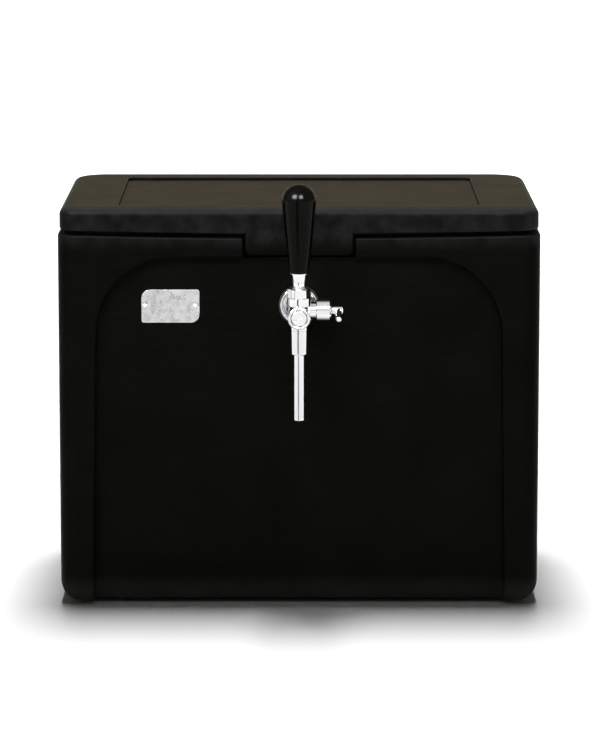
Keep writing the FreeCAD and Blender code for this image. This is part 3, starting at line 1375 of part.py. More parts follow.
def build_inlet():
    """The beer inlet low on the back: barbed fitting, gasket, wall nut and the coil's nut."""
    inner = "(-wall - inlet_inside)"
    face = "washer_thick"
    root = f"({face} + inlet_flange_thick)"
    outline = [
        ("inlet_wide_bore", inner),
        ("inlet_thread", inner),
        ("inlet_thread", face),
        ("inlet_flange", face),
        ("inlet_flange", f"({root} - coarse_break)"),
        ("(inlet_flange - coarse_break)", root),
        ("inlet_tail", root),
    ]
    for step in range(3):
        outline.append(("inlet_barb", f"({root} + {step} * inlet_barb_pitch + inlet_barb_step)"))
        outline.append(("inlet_tail", f"({root} + {step + 1} * inlet_barb_pitch)"))
    outline.append(("inlet_bore", f"({root} + 3 * inlet_barb_pitch)"))
    outline.append(("inlet_bore", f"({root} - inlet_bore_step)"))
    outline.append(("inlet_wide_bore", f"({root} - inlet_bore_step)"))
    spot = ("(-riser_in)", REAR, "inlet_height")
    fitting = turned("inlet_fitting", outline, *spot, **FACING_REAR)
    gasket = flat_gasket("inlet_gasket", "(inlet_thread + inlet_play)", "(inlet_flange + washer_edge)", spot)
    nut = hex_nut("inlet_locknut", "nut_flats", "(inlet_thread + thread_play)", "nut_thick")
    place(nut, "(-riser_in)", f"({REAR} - wall)", "inlet_height", **FACING_FRONT)
    tail = tail_nut("coil_inlet_nut", "inlet_thread", "(inlet_inside - nut_thick - tail_nut_gap)")
    place(tail, "(-riser_in)", f"({REAR} - wall - inlet_inside)", "inlet_height", **FACING_FRONT)
    return [fitting, gasket, nut, tail]


def flat_gasket(name, bore, edge, spot):
    """A flat ring between a flange and the back of the box."""
    outline = [(bore, "0"), (edge, "0"), (edge, "washer_thick"), (bore, "washer_thick")]
    return turned(name, outline, *spot, **FACING_REAR)


def build_drain():
    """The drain low on the back: threaded bush, gasket, nut and screw cap."""
    face = "washer_thick"
    root = f"({face} + drain_flange_thick)"
    outline = [
        ("drain_bore", "(-wall - drain_inside)"),
        ("drain_thread", "(-wall - drain_inside)"),
        ("drain_thread", face),
        ("drain_flange", face),
        ("drain_flange", f"({root} - edge_break)"),
        ("(drain_flange - edge_break)", root),
        ("drain_thread", root),
        ("drain_thread", f"({root} + drain_spout)"),
        ("drain_bore", f"({root} + drain_spout)"),
    ]
    spot = ("drain_x", REAR, "drain_height")
    bush = turned("drain_bush", outline, *spot, **FACING_REAR)
    gasket = flat_gasket("drain_gasket", "(drain_thread + drain_play)", "(drain_flange + washer_edge)", spot)
    nut = hex_nut("drain_locknut", "drain_nut_flats", "(drain_thread + thread_play)", "drain_nut_thick")
    place(nut, "drain_x", f"({REAR} - wall)", "drain_height", **FACING_FRONT)
    cap = new_body("drain_cap")
    end = f"({root} + drain_spout + end_play)"
    outline = [
        ("0", end),
        ("(drain_thread + bung_play)", end),
        ("(drain_thread + bung_play)", f"({root} + end_play)"),
        ("bung_radius", f"({root} + end_play)"),
        ("bung_radius", f"({end} + bung_wall - coarse_break)"),
        ("(bung_radius - coarse_break)", f"({end} + bung_wall)"),
        ("0", f"({end} + bung_wall)"),
    ]
    turn(cap, new_sketch(cap, "XZ", outline))
    groove = pocket(cap, new_sketch(cap, "XY", ("bung_radius", "0", "bung_groove")), back=True)
    pattern(cap, groove, "bung_grooves")
    place(cap, *spot, **FACING_REAR)
    return [bush, gasket, nut, cap]


def straight(start, end):
    """A straight run, as a list of its one edge."""
    return [Part.LineSegment(start, end).toShape()]


def tangent_arc(start, direction, end):
    """The arc that leaves start along a direction and ends at end."""
    chord = end - start
    along = chord / chord.Length
    aside = direction - along * direction.dot(along)
    angle = direction.getAngle(chord)
    middle = (start + end) / 2 + aside.normalize() * (chord.Length / 2 * math.tan(angle / 2))
    return Part.Arc(start, middle, end).toShape()


def half_turn(start, start_way, end, end_way):
    """Two tangent arcs that join two points along given directions."""
    gap = end - start
    both = start_way + end_way
    spare = 4 - both.dot(both)
    reach = (math.sqrt(gap.dot(both) ** 2 + spare * gap.dot(gap)) - gap.dot(both)) / spare
    joint = (start + start_way * reach + end - end_way * reach) / 2
    second = tangent_arc(end, end_way * -1, joint)
    return [tangent_arc(start, start_way, joint), second]


def rounded_route(points, radius):
    """Straight runs between points, with each corner turned by an arc."""
    edges = []
    start = points[0]
    for before, corner, after in zip(points, points[1:], points[2:]):
        way_in = (corner - before).normalize()
        way_out = (after - corner).normalize()
        setback = radius * math.tan(way_in.getAngle(way_out) / 2)
        enter = corner - way_in * setback
        leave = corner + way_out * setback
        edges += straight(start, enter)
        edges.append(tangent_arc(enter, way_in, leave))
        start = leave
    return edges + straight(start, points[-1])


def coil_slope():
    """Rise of the coil for each millimetre along its turns."""
    return number("coil_pitch / (2 * coil_span + 2 * pi * coil_bend)")


def coil_run_height(turn_count, x, rear):
    """Height of the tube's middle on a straight run of the coil."""
    slope = coil_slope()
    half = number("coil_span / 2")
    corner_x = number("-riser_in")
    if rear:
        return number("coil_start") + slope * (x - corner_x) + turn_count * number("coil_pitch")
    first_end = number("coil_start") + slope * (half - corner_x) + math.pi * number("coil_bend") * slope
    return first_end + slope * (half - x) + turn_count * number("coil_pitch")


def self_gap(path):
    """Least gap between two stretches of the tube, measured on points along its path."""
    step = number("coil_tube")
    spots = path.discretize(Distance=step)
    apart = int(math.pi * number("riser_bend") / step)
    near = min((a - b).Length for i, a in enumerate(spots) for b in spots[i + apart :])
    return near - 2 * number("coil_tube")


def build_coil():
    """The coil: beer enters low at the back, climbs the turns and rises to the tap's shank."""
    slope = coil_slope()
    half = number("coil_span / 2")
    bend = number("coil_bend")
    middle = number(COIL_Y)
    turns = int(number("coil_turns"))
    riser = number("-riser_in")
    inlet_end = number(f"({REAR} - wall - inlet_inside)")
    outlet_end = number(f"({PANEL} + wall + shank_inside)")
    height = number("tap_axis")

    def rear_point(count, x):
        return Vector(x, middle + bend, coil_run_height(count, x, True))

    def front_point(count, x):
        return Vector(x, middle - bend, coil_run_height(count, x, False))

    right = Vector(1, 0, slope).normalize()
    left = Vector(-1, 0, slope).normalize()
    corner = Vector(riser, middle + bend, number("coil_start"))
    inlet = [Vector(riser, inlet_end, corner.z), corner, rear_point(0, half)]
    edges = rounded_route(inlet, number("riser_bend"))
    for count in range(turns + 1):
        edges += half_turn(rear_point(count, half), right, front_point(count, half), left)
        if count < turns:
            edges += straight(front_point(count, half), front_point(count, -half))
            edges += half_turn(front_point(count, -half), left, rear_point(count + 1, -half), right)
            edges += straight(rear_point(count + 1, -half), rear_point(count + 1, half))
    riser_foot = front_point(turns, riser)
    riser_head = Vector(riser, middle - bend, height)
    outlet_corner = Vector(0, middle - bend, height)
    outlet = Vector(0, outlet_end, height)
    route = [front_point(turns, half), riser_foot, riser_head, outlet_corner, outlet]
    edges += rounded_route(route, number("riser_bend"))
    path = Part.Wire(edges)
    ring = Part.Circle(edges[0].Vertexes[0].Point, Vector(0, -1, 0), number("coil_tube"))
    shell = Part.BRepOffsetAPI.MakePipeShell(path)
    shell.add(Part.Wire(ring.toShape()))
    shell.build()
    shell.makeSolid()
    coil = doc.addObject("Part::Feature", "Pipe_cooling_coil")
    coil.Shape = shell.shape()
    coil.Label = "cooling_coil"
    expected = path.Length * math.pi * number("coil_tube") ** 2
    print("coil: length", round(path.Length), "volume over section by length", coil.Shape.Volume / expected)
    print("coil: least gap to itself", round(self_gap(path), 2))
    return [coil]


def build_combs():
    """Four combs on the floor of the box whose slots carry the straight runs of the coil."""
    combs = []
    base = number("floor_height")
    turns = int(number("coil_turns"))
    for rear in (True, False):
        for sign in (1, -1):
            x = sign * number("comb_spread / 2")
            first = coil_run_height(0, x, rear) - base
            count = turns + 1
            comb = new_body(f"comb_{'rear' if rear else 'front'}_{'right' if sign > 0 else 'left'}")
            outer = "(-comb_reach)"
            side = [
                (outer, "0"),
                ("comb_inner", "0"),
                ("comb_inner", f"({first} + coil_pitch * {count - 1} + comb_top)"),
                (outer, f"({first} + coil_pitch * {count - 1} + comb_top)"),
            ]
            pad(comb, new_sketch(comb, "YZ", side), "comb_width", middle=True)
            gap = "(coil_tube + comb_play)"
            mouth = [
                (f"(-{gap} - comb_reach)", f"({first} - {gap})"),
                ("0", f"({first} - {gap})", gap),
                (gap, str(first), gap),
                ("0", f"({first} + {gap})"),
                (f"(-{gap} - comb_reach)", f"({first} + {gap})"),
            ]
            slot = pocket(comb, new_sketch(comb, "YZ", mouth), "(2 * comb_width)", middle=True)
            pattern(comb, slot, str(count), spacing="coil_pitch")
            run = f"({COIL_Y} + coil_bend)" if rear else f"({COIL_Y} - coil_bend)"
            place(comb, str(x), run, "floor_height", angle=180 if rear else 0)
            combs.append(comb)
    group = doc.addObject("Part::Compound", "Group_coil_combs")
    group.Links = combs
    group.Label = "coil_combs"
    return [group]


def build_all():
    """Every sub-part in turn."""
    nodes = []
    for build in (
        build_box,
        build_port_plugs,
        build_feet,
        build_lid,
        build_rim_gasket,
        build_hinges,
        build_plate,
        build_shank,
        build_tap_body,
        build_lever,
        build_slide,
        build_cap,
        build_spout,
        build_compensator,
        build_inlet,
        build_drain,
        build_coil,
        build_combs,
    ):
        nodes += build()
        doc.recompute()
    return nodes


def check(nodes):
    """Stop if any object failed or any sub-part has no sound solid."""
    failed = [item.Label for item in doc.Objects if {"Invalid", "Error"} & set(item.State)]
    if failed:
        raise RuntimeError("failed objects: " + ", ".join(failed))
    for node in nodes:
        shape = node.Shape
        if shape.isNull() or not shape.isValid() or not shape.Solids:
            raise RuntimeError("no sound solid: " + node.Label)


nodes = build_all()
check(nodes)
os.makedirs("parts", exist_ok=True)
for node in nodes:
    node.Shape.exportStep(f"parts/{node.Label}.step")
    print(node.Label, len(node.Shape.Solids), "solids", round(node.Shape.Volume / 1000, 2), "cm3")
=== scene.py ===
import json
import math
import bpy
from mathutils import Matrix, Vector


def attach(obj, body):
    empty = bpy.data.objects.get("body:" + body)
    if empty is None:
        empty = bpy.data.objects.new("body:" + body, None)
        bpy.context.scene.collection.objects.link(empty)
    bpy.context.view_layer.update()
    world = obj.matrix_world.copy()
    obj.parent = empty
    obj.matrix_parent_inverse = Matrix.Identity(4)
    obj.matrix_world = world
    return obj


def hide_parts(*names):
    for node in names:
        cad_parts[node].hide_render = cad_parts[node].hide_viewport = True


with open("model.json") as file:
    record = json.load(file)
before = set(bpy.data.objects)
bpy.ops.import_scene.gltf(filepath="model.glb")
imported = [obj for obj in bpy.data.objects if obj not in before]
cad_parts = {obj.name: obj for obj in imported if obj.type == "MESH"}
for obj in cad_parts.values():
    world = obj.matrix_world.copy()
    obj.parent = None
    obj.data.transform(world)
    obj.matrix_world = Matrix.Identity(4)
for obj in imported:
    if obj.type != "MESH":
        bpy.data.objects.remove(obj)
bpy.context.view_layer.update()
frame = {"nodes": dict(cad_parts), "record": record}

nodes = frame["nodes"]
homeBody = {}
for bodyName, members in frame["record"]["behaviour"]["bodies"].items():
    for member in members:
        homeBody[member] = bodyName
slotOf = {part["node"]: part["material_slot"] for part in frame["record"]["subparts"]}
perMetre = 1000  # sizes of modelled pieces are written in millimetres


# Camera, lamps and floor

shot = {
    "lens": 3820 / 738 * 36,  # 3820 pixels on the frame's long side
    "sensor": 36,
    "place": (0.001, -4.0998, 0.912),
    "pitch": 9.41,  # degrees down
    "farthest": 100,
}


def setCamera():
    bpy.ops.object.camera_add(location=shot["place"])
    camera = bpy.context.object
    camera.name = "photoCamera"
    camera.rotation_euler = (math.radians(90 - shot["pitch"]), 0, 0)
    camera.data.sensor_fit = "AUTO"
    camera.data.sensor_width = shot["sensor"]
    camera.data.lens = shot["lens"]
    camera.data.clip_end = shot["farthest"]
    bpy.context.scene.camera = camera


# The key hangs over and behind the front, so its soft shadow falls forward.
# The two glints show only in gloss, as the two spots on the handle.
studio = {
    "key": {
        "place": (0.0, 1.0, 4.8),
        "aim": (0, 0.9, 0),
        "size": (1.1, 2.1),
        "watts": 320,
        "diffuse": True,
        "glossy": False,
    },
    "leftGlint": {
        "place": (-1.085, -1.93, 1.85),
        "aim": (0, -0.2, 0.44),
        "size": (1.4, 1.0),
        "watts": 240,
        "diffuse": False,
        "glossy": True,
    },
    "rightGlint": {
        "place": (0.564, -2.16, 1.85),
        "aim": (0, -0.2, 0.44),
        "size": (1.0, 0.9),
        "watts": 140,
        "diffuse": False,
        "glossy": True,
    },
}


def addLamp(name, plan):
    bpy.ops.object.light_add(type="AREA", location=plan["place"])
    lamp = bpy.context.object
    lamp.name = name + "Lamp"
    lamp.data.shape = "RECTANGLE"
    lamp.data.size, lamp.data.size_y = plan["size"]
    lamp.data.energy = plan["watts"]
    lamp.visible_diffuse = plan["diffuse"]
    lamp.visible_glossy = plan["glossy"]
    way = Vector(plan["aim"]) - Vector(plan["place"])
    lamp.rotation_euler = way.to_track_quat("-Z", "Y").to_euler()


# Helpers for shaders

def newMaterial(name, colour, roughness, metallic=0.0, specular=0.5):
    mat = bpy.data.materials.new(name)
    mat.use_nodes = True
    tree = mat.node_tree
    shader = tree.nodes["Principled BSDF"]
    shader.inputs["Base Color"].default_value = (*colour, 1)
    shader.inputs["Roughness"].default_value = roughness
    shader.inputs["Metallic"].default_value = metallic
    shader.inputs["Specular IOR Level"].default_value = specular
    coords = tree.nodes.new("ShaderNodeTexCoord").outputs["Object"]
    return mat, tree, shader, coords


def addMaths(tree, operation, first, second):
    maths = tree.nodes.new("ShaderNodeMath")
    maths.operation = operation
    for socket, value in zip(maths.inputs, (first, second)):
        tree.links.new(value, socket)
    return maths.outputs[0]


def mixColours(tree, share, first, second):
    mix = tree.nodes.new("ShaderNodeMix")
    mix.data_type = "RGBA"
    tree.links.new(share, mix.inputs[0])
    for socket, value in ((mix.inputs[6], first), (mix.inputs[7], second)):
        if isinstance(value, tuple):
            socket.default_value = (*value, 1)
        else:
            tree.links.new(value, socket)
    return mix.outputs[2]


def mapRange(tree, source, start, end, top=1.0):
    spread = tree.nodes.new("ShaderNodeMapRange")
    spread.inputs["From Min"].default_value = start
    spread.inputs["From Max"].default_value = end
    spread.inputs["To Max"].default_value = top
    tree.links.new(source, spread.inputs["Value"])
    return spread.outputs["Result"]


def addRamp(tree, source, *stops):
    ramp = tree.nodes.new("ShaderNodeValToRGB")
    elements = ramp.color_ramp.elements
    while len(elements) < len(stops):
        elements.new(0.5)
    for element, (place, shade) in zip(elements, stops):
        element.position = place
        element.color = (*shade, 1) if isinstance(shade, tuple) else (shade, shade, shade, 1)
    tree.links.new(source, ramp.inputs["Fac"])
    return ramp.outputs["Color"]


def addNoise(tree, coords, scale, detail=3.0, stretch=(1, 1, 1)):
    mapping = tree.nodes.new("ShaderNodeMapping")
    mapping.inputs["Scale"].default_value = stretch
    noise = tree.nodes.new("ShaderNodeTexNoise")
    noise.inputs["Scale"].default_value = scale
    noise.inputs["Detail"].default_value = detail
    tree.links.new(coords, mapping.inputs["Vector"])
    tree.links.new(mapping.outputs["Vector"], noise.inputs["Vector"])
    return noise.outputs["Fac"]


def addBump(tree, shader, *layers):
    last = None
    for height, strength, distance in layers:
        bump = tree.nodes.new("ShaderNodeBump")
        bump.inputs["Strength"].default_value = strength
        bump.inputs["Distance"].default_value = distance
        tree.links.new(height, bump.inputs["Height"])
        if last is not None:
            tree.links.new(last, bump.inputs["Normal"])
        last = bump.outputs["Normal"]
    tree.links.new(last, shader.inputs["Normal"])


# What is seen past the box: white by the camera, panels by metal and gloss

surround = {
    "ambient": (0.07, 0.07, 0.068),
    # in front of the box, from far left to far right
    "panels": ((0.0, 0.95), (0.3, 1.0), (0.5, 0.8), (0.62, 0.62), (0.8, 0.6), (1.0, 0.85)),
    "behind": (0.26, 0.225, 0.165),  # dim and warm behind the box
    "behindStart": -0.1,
    "behindEnd": 0.3,
    "backdrop": (1, 1, 1),
}


def setWorld():
    world = bpy.data.worlds.new("studioWorld")
    bpy.context.scene.world = world
    world.use_nodes = True
    tree = world.node_tree
    coords = tree.nodes.new("ShaderNodeTexCoord")
    split = tree.nodes.new("ShaderNodeSeparateXYZ")
    tree.links.new(coords.outputs["Generated"], split.inputs["Vector"])
    panels = addRamp(tree, mapRange(tree, split.outputs["X"], -1, 1), *surround["panels"])
    back = mapRange(tree, split.outputs["Y"], surround["behindStart"], surround["behindEnd"])
    seen = mixColours(tree, back, panels, surround["behind"])
    path = tree.nodes.new("ShaderNodeLightPath").outputs
    mirrored = addMaths(tree, "MAXIMUM", path["Is Glossy Ray"], path["Is Transmission Ray"])
    lit = mixColours(tree, mirrored, surround["ambient"], seen)
    shown = mixColours(tree, path["Is Camera Ray"], lit, surround["backdrop"])
    background = tree.nodes["Background"]
    tree.links.new(shown, background.inputs["Color"])
    background.inputs["Strength"].default_value = 1.0


# Lit near the box, so that it keeps the shadow, and glowing white far from it
ground = {
    "size": 60,
    "colour": (0.9, 0.9, 0.9),
    "roughness": 0.9,
    "glowStart": 1.2,
    "glowEnd": 4.0,
    "glow": 1.0,
}


def addFloor():
    bpy.ops.mesh.primitive_plane_add(size=ground["size"], location=(0, 0, 0))
    floor = bpy.context.object
    floor.name = "studioFloor"
    mat, tree, shader, coords = newMaterial("paleFloor", ground["colour"], ground["roughness"],
                                            specular=0.0)
    reach = tree.nodes.new("ShaderNodeVectorMath")
    reach.operation = "LENGTH"
    tree.links.new(coords, reach.inputs[0])
    glow = mapRange(tree, reach.outputs["Value"], ground["glowStart"], ground["glowEnd"],
                    ground["glow"])
    path = tree.nodes.new("ShaderNodeLightPath").outputs
    seen = addMaths(tree, "MAXIMUM", path["Is Camera Ray"], path["Is Glossy Ray"])
    seen = addMaths(tree, "MAXIMUM", seen, path["Is Transmission Ray"])
    shader.inputs["Emission Color"].default_value = (1, 1, 1, 1)
    tree.links.new(addMaths(tree, "MULTIPLY", seen, glow), shader.inputs["Emission Strength"])
    floor.data.materials.append(mat)


# A black card before the tap, hidden from the camera, that gives the chrome its dark line
flag = {
    "place": (-0.205, -1.15, 0.75),
    "width": 0.24,
    "height": 1.5,
    "turn": -12,
    "colour": (0.004, 0.004, 0.004),
}


def addFlag():
    bpy.ops.mesh.primitive_plane_add(size=1, location=flag["place"])
    card = bpy.context.object
    card.name = "blackFlag"
    card.scale = (flag["width"], flag["height"], 1)
    card.rotation_euler = (math.radians(90), 0, math.radians(flag["turn"]))
    card.data.materials.append(newMaterial("flagBlack", flag["colour"], 1.0, specular=0.0)[0])
    card.visible_camera = False
    card.visible_diffuse = False
    card.visible_shadow = False


# Materials

# A noise is given as (scale, detail), a bump as (its noise, strength, distance in metres)
skin = {
    "dark": (0.0022, 0.0024, 0.0010),
    "pale": (0.0040, 0.0041, 0.0022),
    "floorReflection": (0.034, 0.033, 0.027),  # painted reflection of the pale floor, round the foot of the box
    "paintedSheen": (0.036, 0.038, 0.038),  # painted highlight on edges that turn up and, thinner, painted sheen all over the lid
    "topSheen": (0.030, 0.026, 0.018),  # painted sheen, paler and warm, on faces that look up
    "roughness": 0.46,
    "specular": 0.02,
    "patches": (9.0, 4.0),
    "film": (45.0, 6.0),
    "filmStops": ((0.25, 0.7), (0.75, 1.0)),
    # patches in the painted sheen over the lid
    "lidSheenPatches": (55.0, 6.0),
    "lidSheenPatchStops": ((0.35, 0.25), (0.65, 1.0)),
    # by the upward part of the normal
    # painted highlight on edges that turn up
    "upEdgeHighlightStops": ((0.1, 0.0), (0.6, 1.0)),
    # painted sheen on faces that look up
    "topSheenStops": ((0.90, 0.0), (0.99, 1.0)),
    # by the height above the floor in metres
    # painted reflection of the floor, low down round the foot
    "floorReflectionStops": ((0.013, 1.0), (0.03, 0.0)),
    # painted sheen over the lid, from the rim up
    "lidSheenStops": ((0.380, 0.0), (0.396, 0.8)),
    "gloss": (22.0, 5.0),
    "glossStops": ((0.3, 0.40), (0.7, 0.52)),
    # waves, orange peel and grain
    "bumps": (
        ((14.0, 2.0), 0.3, 0.005),
        ((170.0, 3.0), 0.35, 0.0012),
        ((1100.0, 2.0), 0.2, 0.0003),
    ),
}


def upwardPart(tree, vector):
    split = tree.nodes.new("ShaderNodeSeparateXYZ")
    tree.links.new(vector, split.inputs["Vector"])
    return split.outputs["Z"]


def mouldedSkin():
    mat, tree, shader, coords = newMaterial("mouldedSkin", skin["dark"], skin["roughness"],
                                            specular=skin["specular"])
    patches = addNoise(tree, coords, *skin["patches"])
    shade = addRamp(tree, patches, (0.3, skin["dark"]), (0.7, skin["pale"]))
    facing = upwardPart(tree, tree.nodes.new("ShaderNodeNewGeometry").outputs["Normal"])
    level = upwardPart(tree, coords)
    film = addRamp(tree, addNoise(tree, coords, *skin["film"]), *skin["filmStops"])
    lidSheenPatches = addRamp(tree, addNoise(tree, coords, *skin["lidSheenPatches"]), *skin["lidSheenPatchStops"])
    # painted highlight on edges that turn up
    upEdgeHighlight = addMaths(tree, "MULTIPLY", addRamp(tree, facing, *skin["upEdgeHighlightStops"]), film)
    # painted reflection of the floor round the foot of the box
    footReflection = addMaths(tree, "MULTIPLY", addRamp(tree, level, *skin["floorReflectionStops"]), film)
    # painted sheen over the lid, in patches
    lidSheen = addMaths(tree, "MULTIPLY", addRamp(tree, level, *skin["lidSheenStops"]), lidSheenPatches)
    tone = mixColours(tree, footReflection, shade, skin["floorReflection"])
    tone = mixColours(tree, lidSheen, tone, skin["paintedSheen"])
    tone = mixColours(tree, upEdgeHighlight, tone, skin["paintedSheen"])
    # painted sheen, paler and warm, on faces that look up
    topSheenTone = mixColours(tree, film, shade, skin["topSheen"])
    topSheenShare = addRamp(tree, facing, *skin["topSheenStops"])
    tree.links.new(mixColours(tree, topSheenShare, tone, topSheenTone), shader.inputs["Base Color"])
    gloss = addRamp(tree, addNoise(tree, coords, *skin["gloss"]), *skin["glossStops"])
    tree.links.new(gloss, shader.inputs["Roughness"])
    bumps = [(addNoise(tree, coords, *noise), *depth) for noise, *depth in skin["bumps"]]
    addBump(tree, shader, *bumps)
    return mat


foam = {
    "colour": (0.75, 0.66, 0.42),
    "roughness": 0.85,
    "specular": 0.2,
    "cells": 700.0,
    "cellStrength": 0.4,
    "cellDistance": 0.0004,
    "tone": 30.0,
    "toneStops": ((0.3, (0.70, 0.60, 0.36)), (0.7, (0.80, 0.71, 0.47))),
}


def hardFoam():
    mat, tree, shader, coords = newMaterial("hardFoam", foam["colour"], foam["roughness"],
                                            specular=foam["specular"])
    cells = tree.nodes.new("ShaderNodeTexVoronoi")
    cells.inputs["Scale"].default_value = foam["cells"]
    tree.links.new(coords, cells.inputs["Vector"])
    tone = addRamp(tree, addNoise(tree, coords, foam["tone"]), *foam["toneStops"])
    tree.links.new(tone, shader.inputs["Base Color"])
    addBump(tree, shader, (cells.outputs["Distance"], foam["cellStrength"], foam["cellDistance"]))
    return mat


# A shader is given as (colour, roughness, metallic, specular)
plainFinishes = {
    "rubber": {
        "name": "blackRubber",
        "shader": ((0.012, 0.012, 0.012), 0.75, 0.0, 0.3),
        "gloss": (40.0,),
        "glossStops": ((0.3, 0.65), (0.7, 0.85)),
        "bump": ((900.0,), 0.3, 0.0002),
    },
    "steel": {
        "name": "brushedSteel",
        "shader": ((0.56, 0.56, 0.55), 0.3, 1.0, 0.5),
        "gloss": (500.0, 3.0, (0.06, 1, 1)),
        "glossStops": ((0.3, 0.22), (0.7, 0.42)),
        "bump": ((500.0, 3.0, (0.06, 1, 1)), 0.2, 0.0001),
    },
    "plate": {
        "name": "plateAluminium",
        "shader": ((0.7, 0.7, 0.71), 0.28, 0.75, 0.5),
        "gloss": (160.0, 4.0),
        "glossStops": ((0.3, 0.25), (0.7, 0.31)),
        "tone": (160.0, 4.0),
        "toneStops": ((0.2, (0.84, 0.84, 0.85)), (0.8, (0.88, 0.88, 0.89))),
        "bump": ((900.0, 2.0), 0.05, 0.00005),
    },
    "chrome": {
        "name": "chromePlate",
        "shader": ((0.84, 0.845, 0.85), 0.07, 1.0, 0.5),
        "gloss": (60.0, 4.0),
        "glossStops": ((0.35, 0.05), (0.75, 0.11)),
        "bump": ((240.0, 2.0), 0.06, 0.0003),
    },
    "seat": {
        "name": "whiteAcetal",
        "shader": ((0.8, 0.8, 0.77), 0.4, 0.0, 0.5),
        "gloss": (300.0,),
        "glossStops": ((0.3, 0.34), (0.7, 0.48)),
        "bump": ((1500.0,), 0.1, 0.0001),
    },
    "handle": {
        "name": "polishedBlack",
        "shader": ((0.0030, 0.0028, 0.0020), 0.14, 0.0, 0.08),
        "gloss": (90.0, 4.0),
        "glossStops": ((0.3, 0.14), (0.8, 0.22)),
        "bump": ((70.0, 2.0), 0.05, 0.0006),
    },
    "fitting": {
        "name": "greyFitting",
        "shader": ((0.6, 0.6, 0.57), 0.5, 0.0, 0.5),
        "gloss": (80.0,),
        "glossStops": ((0.3, 0.42), (0.7, 0.58)),
        "tone": (25.0,),
        "toneStops": ((0.3, (0.55, 0.55, 0.52)), (0.7, (0.64, 0.64, 0.61))),
        "bump": ((1200.0,), 0.12, 0.0001),
    },
}


def plainFinish(plan):
    mat, tree, shader, coords = newMaterial(plan["name"], *plan["shader"])
    gloss = addRamp(tree, addNoise(tree, coords, *plan["gloss"]), *plan["glossStops"])
    tree.links.new(gloss, shader.inputs["Roughness"])
    if "tone" in plan:
        tone = addRamp(tree, addNoise(tree, coords, *plan["tone"]), *plan["toneStops"])
        tree.links.new(tone, shader.inputs["Base Color"])
    noise, strength, distance = plan["bump"]
    addBump(tree, shader, (addNoise(tree, coords, *noise), strength, distance))
    return mat


finishes = {"shell": mouldedSkin(), "foam": hardFoam()}
for slotName, finishPlan in plainFinishes.items():
    finishes[slotName] = plainFinish(finishPlan)
print("materials made")


def giveFinish(piece, slot):
    piece.data.materials.clear()
    piece.data.materials.append(finishes[slot])


# Helpers for work in edit mode and for modifiers

# degrees past which an edge is bevelled, or stays sharp on pieces of three kinds
edgeAngle = {"bevel": 38, "cut": 32, "turned": 40, "knurl": 18}
mergeDistance = {"turned": 0.00001, "cad": 0.000002}  # metres
flatAngle = 0.25  # degrees under which a CAD node's triangles join into one face


def deselectAll():
    if bpy.context.object and bpy.context.object.mode != "OBJECT":
        bpy.ops.object.mode_set(mode="OBJECT")
    bpy.ops.object.select_all(action="DESELECT")


def workOn(piece):
    deselectAll()
    piece.select_set(True)
    bpy.context.view_layer.objects.active = piece


def applyModifier(piece, kind, **settings):
    workOn(piece)
    modifier = piece.modifiers.new(kind.title(), kind)
    for setting, value in settings.items():
        setattr(modifier, setting, value)
    bpy.ops.object.modifier_apply(modifier=modifier.name)


def smoothEdges(piece, kind="cut"):
    workOn(piece)
    bpy.ops.object.shade_smooth_by_angle(angle=math.radians(edgeAngle[kind]))
    applyModifier(piece, "WEIGHTED_NORMAL", keep_sharp=True)


def roundEdges(piece, width):
    applyModifier(piece, "BEVEL", width=width / perMetre, segments=2, limit_method="ANGLE",
                  angle_limit=math.radians(edgeAngle["bevel"]), use_clamp_overlap=True)


def combine(piece, other, operation):
    applyModifier(piece, "BOOLEAN", object=other, operation=operation, solver="EXACT")
    bpy.data.objects.remove(other)


def settle(piece, place, turn=(0, 0, 0)):
    piece.location = [value / perMetre for value in place]
    piece.rotation_euler = [math.radians(value) for value in turn]
    workOn(piece)
    bpy.ops.object.transform_apply(location=True, rotation=True, scale=True)


def finishPiece(piece, name, node):
    piece.name = name
    giveFinish(piece, slotOf[node])
    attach(piece, homeBody[node])
    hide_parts(node)


# Turned about Z: a ring is extruded and scaled from one (radius, height) to the next
def turnedPiece(profile, place, turn=(0, 0, 0), sides=96):
    deselectAll()
    rings = [(max(radius, 0.001) / perMetre, height / perMetre) for radius, height in profile]
    radius, height = rings[0]
    bpy.ops.mesh.primitive_circle_add(vertices=sides, radius=radius, location=(0, 0, 0),
                                      enter_editmode=True)
    piece = bpy.context.object
    bpy.ops.mesh.select_all(action="SELECT")
    bpy.ops.transform.translate(value=(0, 0, height))
    for nextRadius, nextHeight in rings[1:]:
        rise = {"value": (0, 0, nextHeight - height)}
        bpy.ops.mesh.extrude_region_move(TRANSFORM_OT_translate=rise)
        grow = nextRadius / radius
        bpy.ops.transform.resize(value=(grow, grow, 1), center_override=(0, 0, nextHeight))
        radius, height = nextRadius, nextHeight
    bpy.ops.mesh.select_all(action="SELECT")
    bpy.ops.mesh.remove_doubles(threshold=mergeDistance["turned"])
    bpy.ops.mesh.normals_make_consistent(inside=False)
    bpy.ops.object.mode_set(mode="OBJECT")
    settle(piece, place, turn)
    return piece


def arcPoints(out, height, radius, start, end, steps):
    points = []
    for step in range(steps + 1):
        angle = math.radians(start + (end - start) * step / steps)
        points.append((out + radius * math.cos(angle), height + radius * math.sin(angle)))
    return points


# A copy of a CAD node, merged and with its triangles joined into plain faces
def copyNode(nodeName):
    node = nodes[nodeName]
    piece = node.copy()
    piece.data = node.data.copy()
    for key in list(piece.keys()):
        if key.startswith("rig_"):
            del piece[key]
    piece.parent = None
    bpy.context.scene.collection.objects.link(piece)
    workOn(piece)
    bpy.ops.object.mode_set(mode="EDIT")
    bpy.ops.mesh.select_all(action="SELECT")
    bpy.ops.mesh.remove_doubles(threshold=mergeDistance["cad"])
    bpy.ops.mesh.dissolve_limited(angle_limit=math.radians(flatAngle))
    bpy.ops.object.mode_set(mode="OBJECT")
    return piece


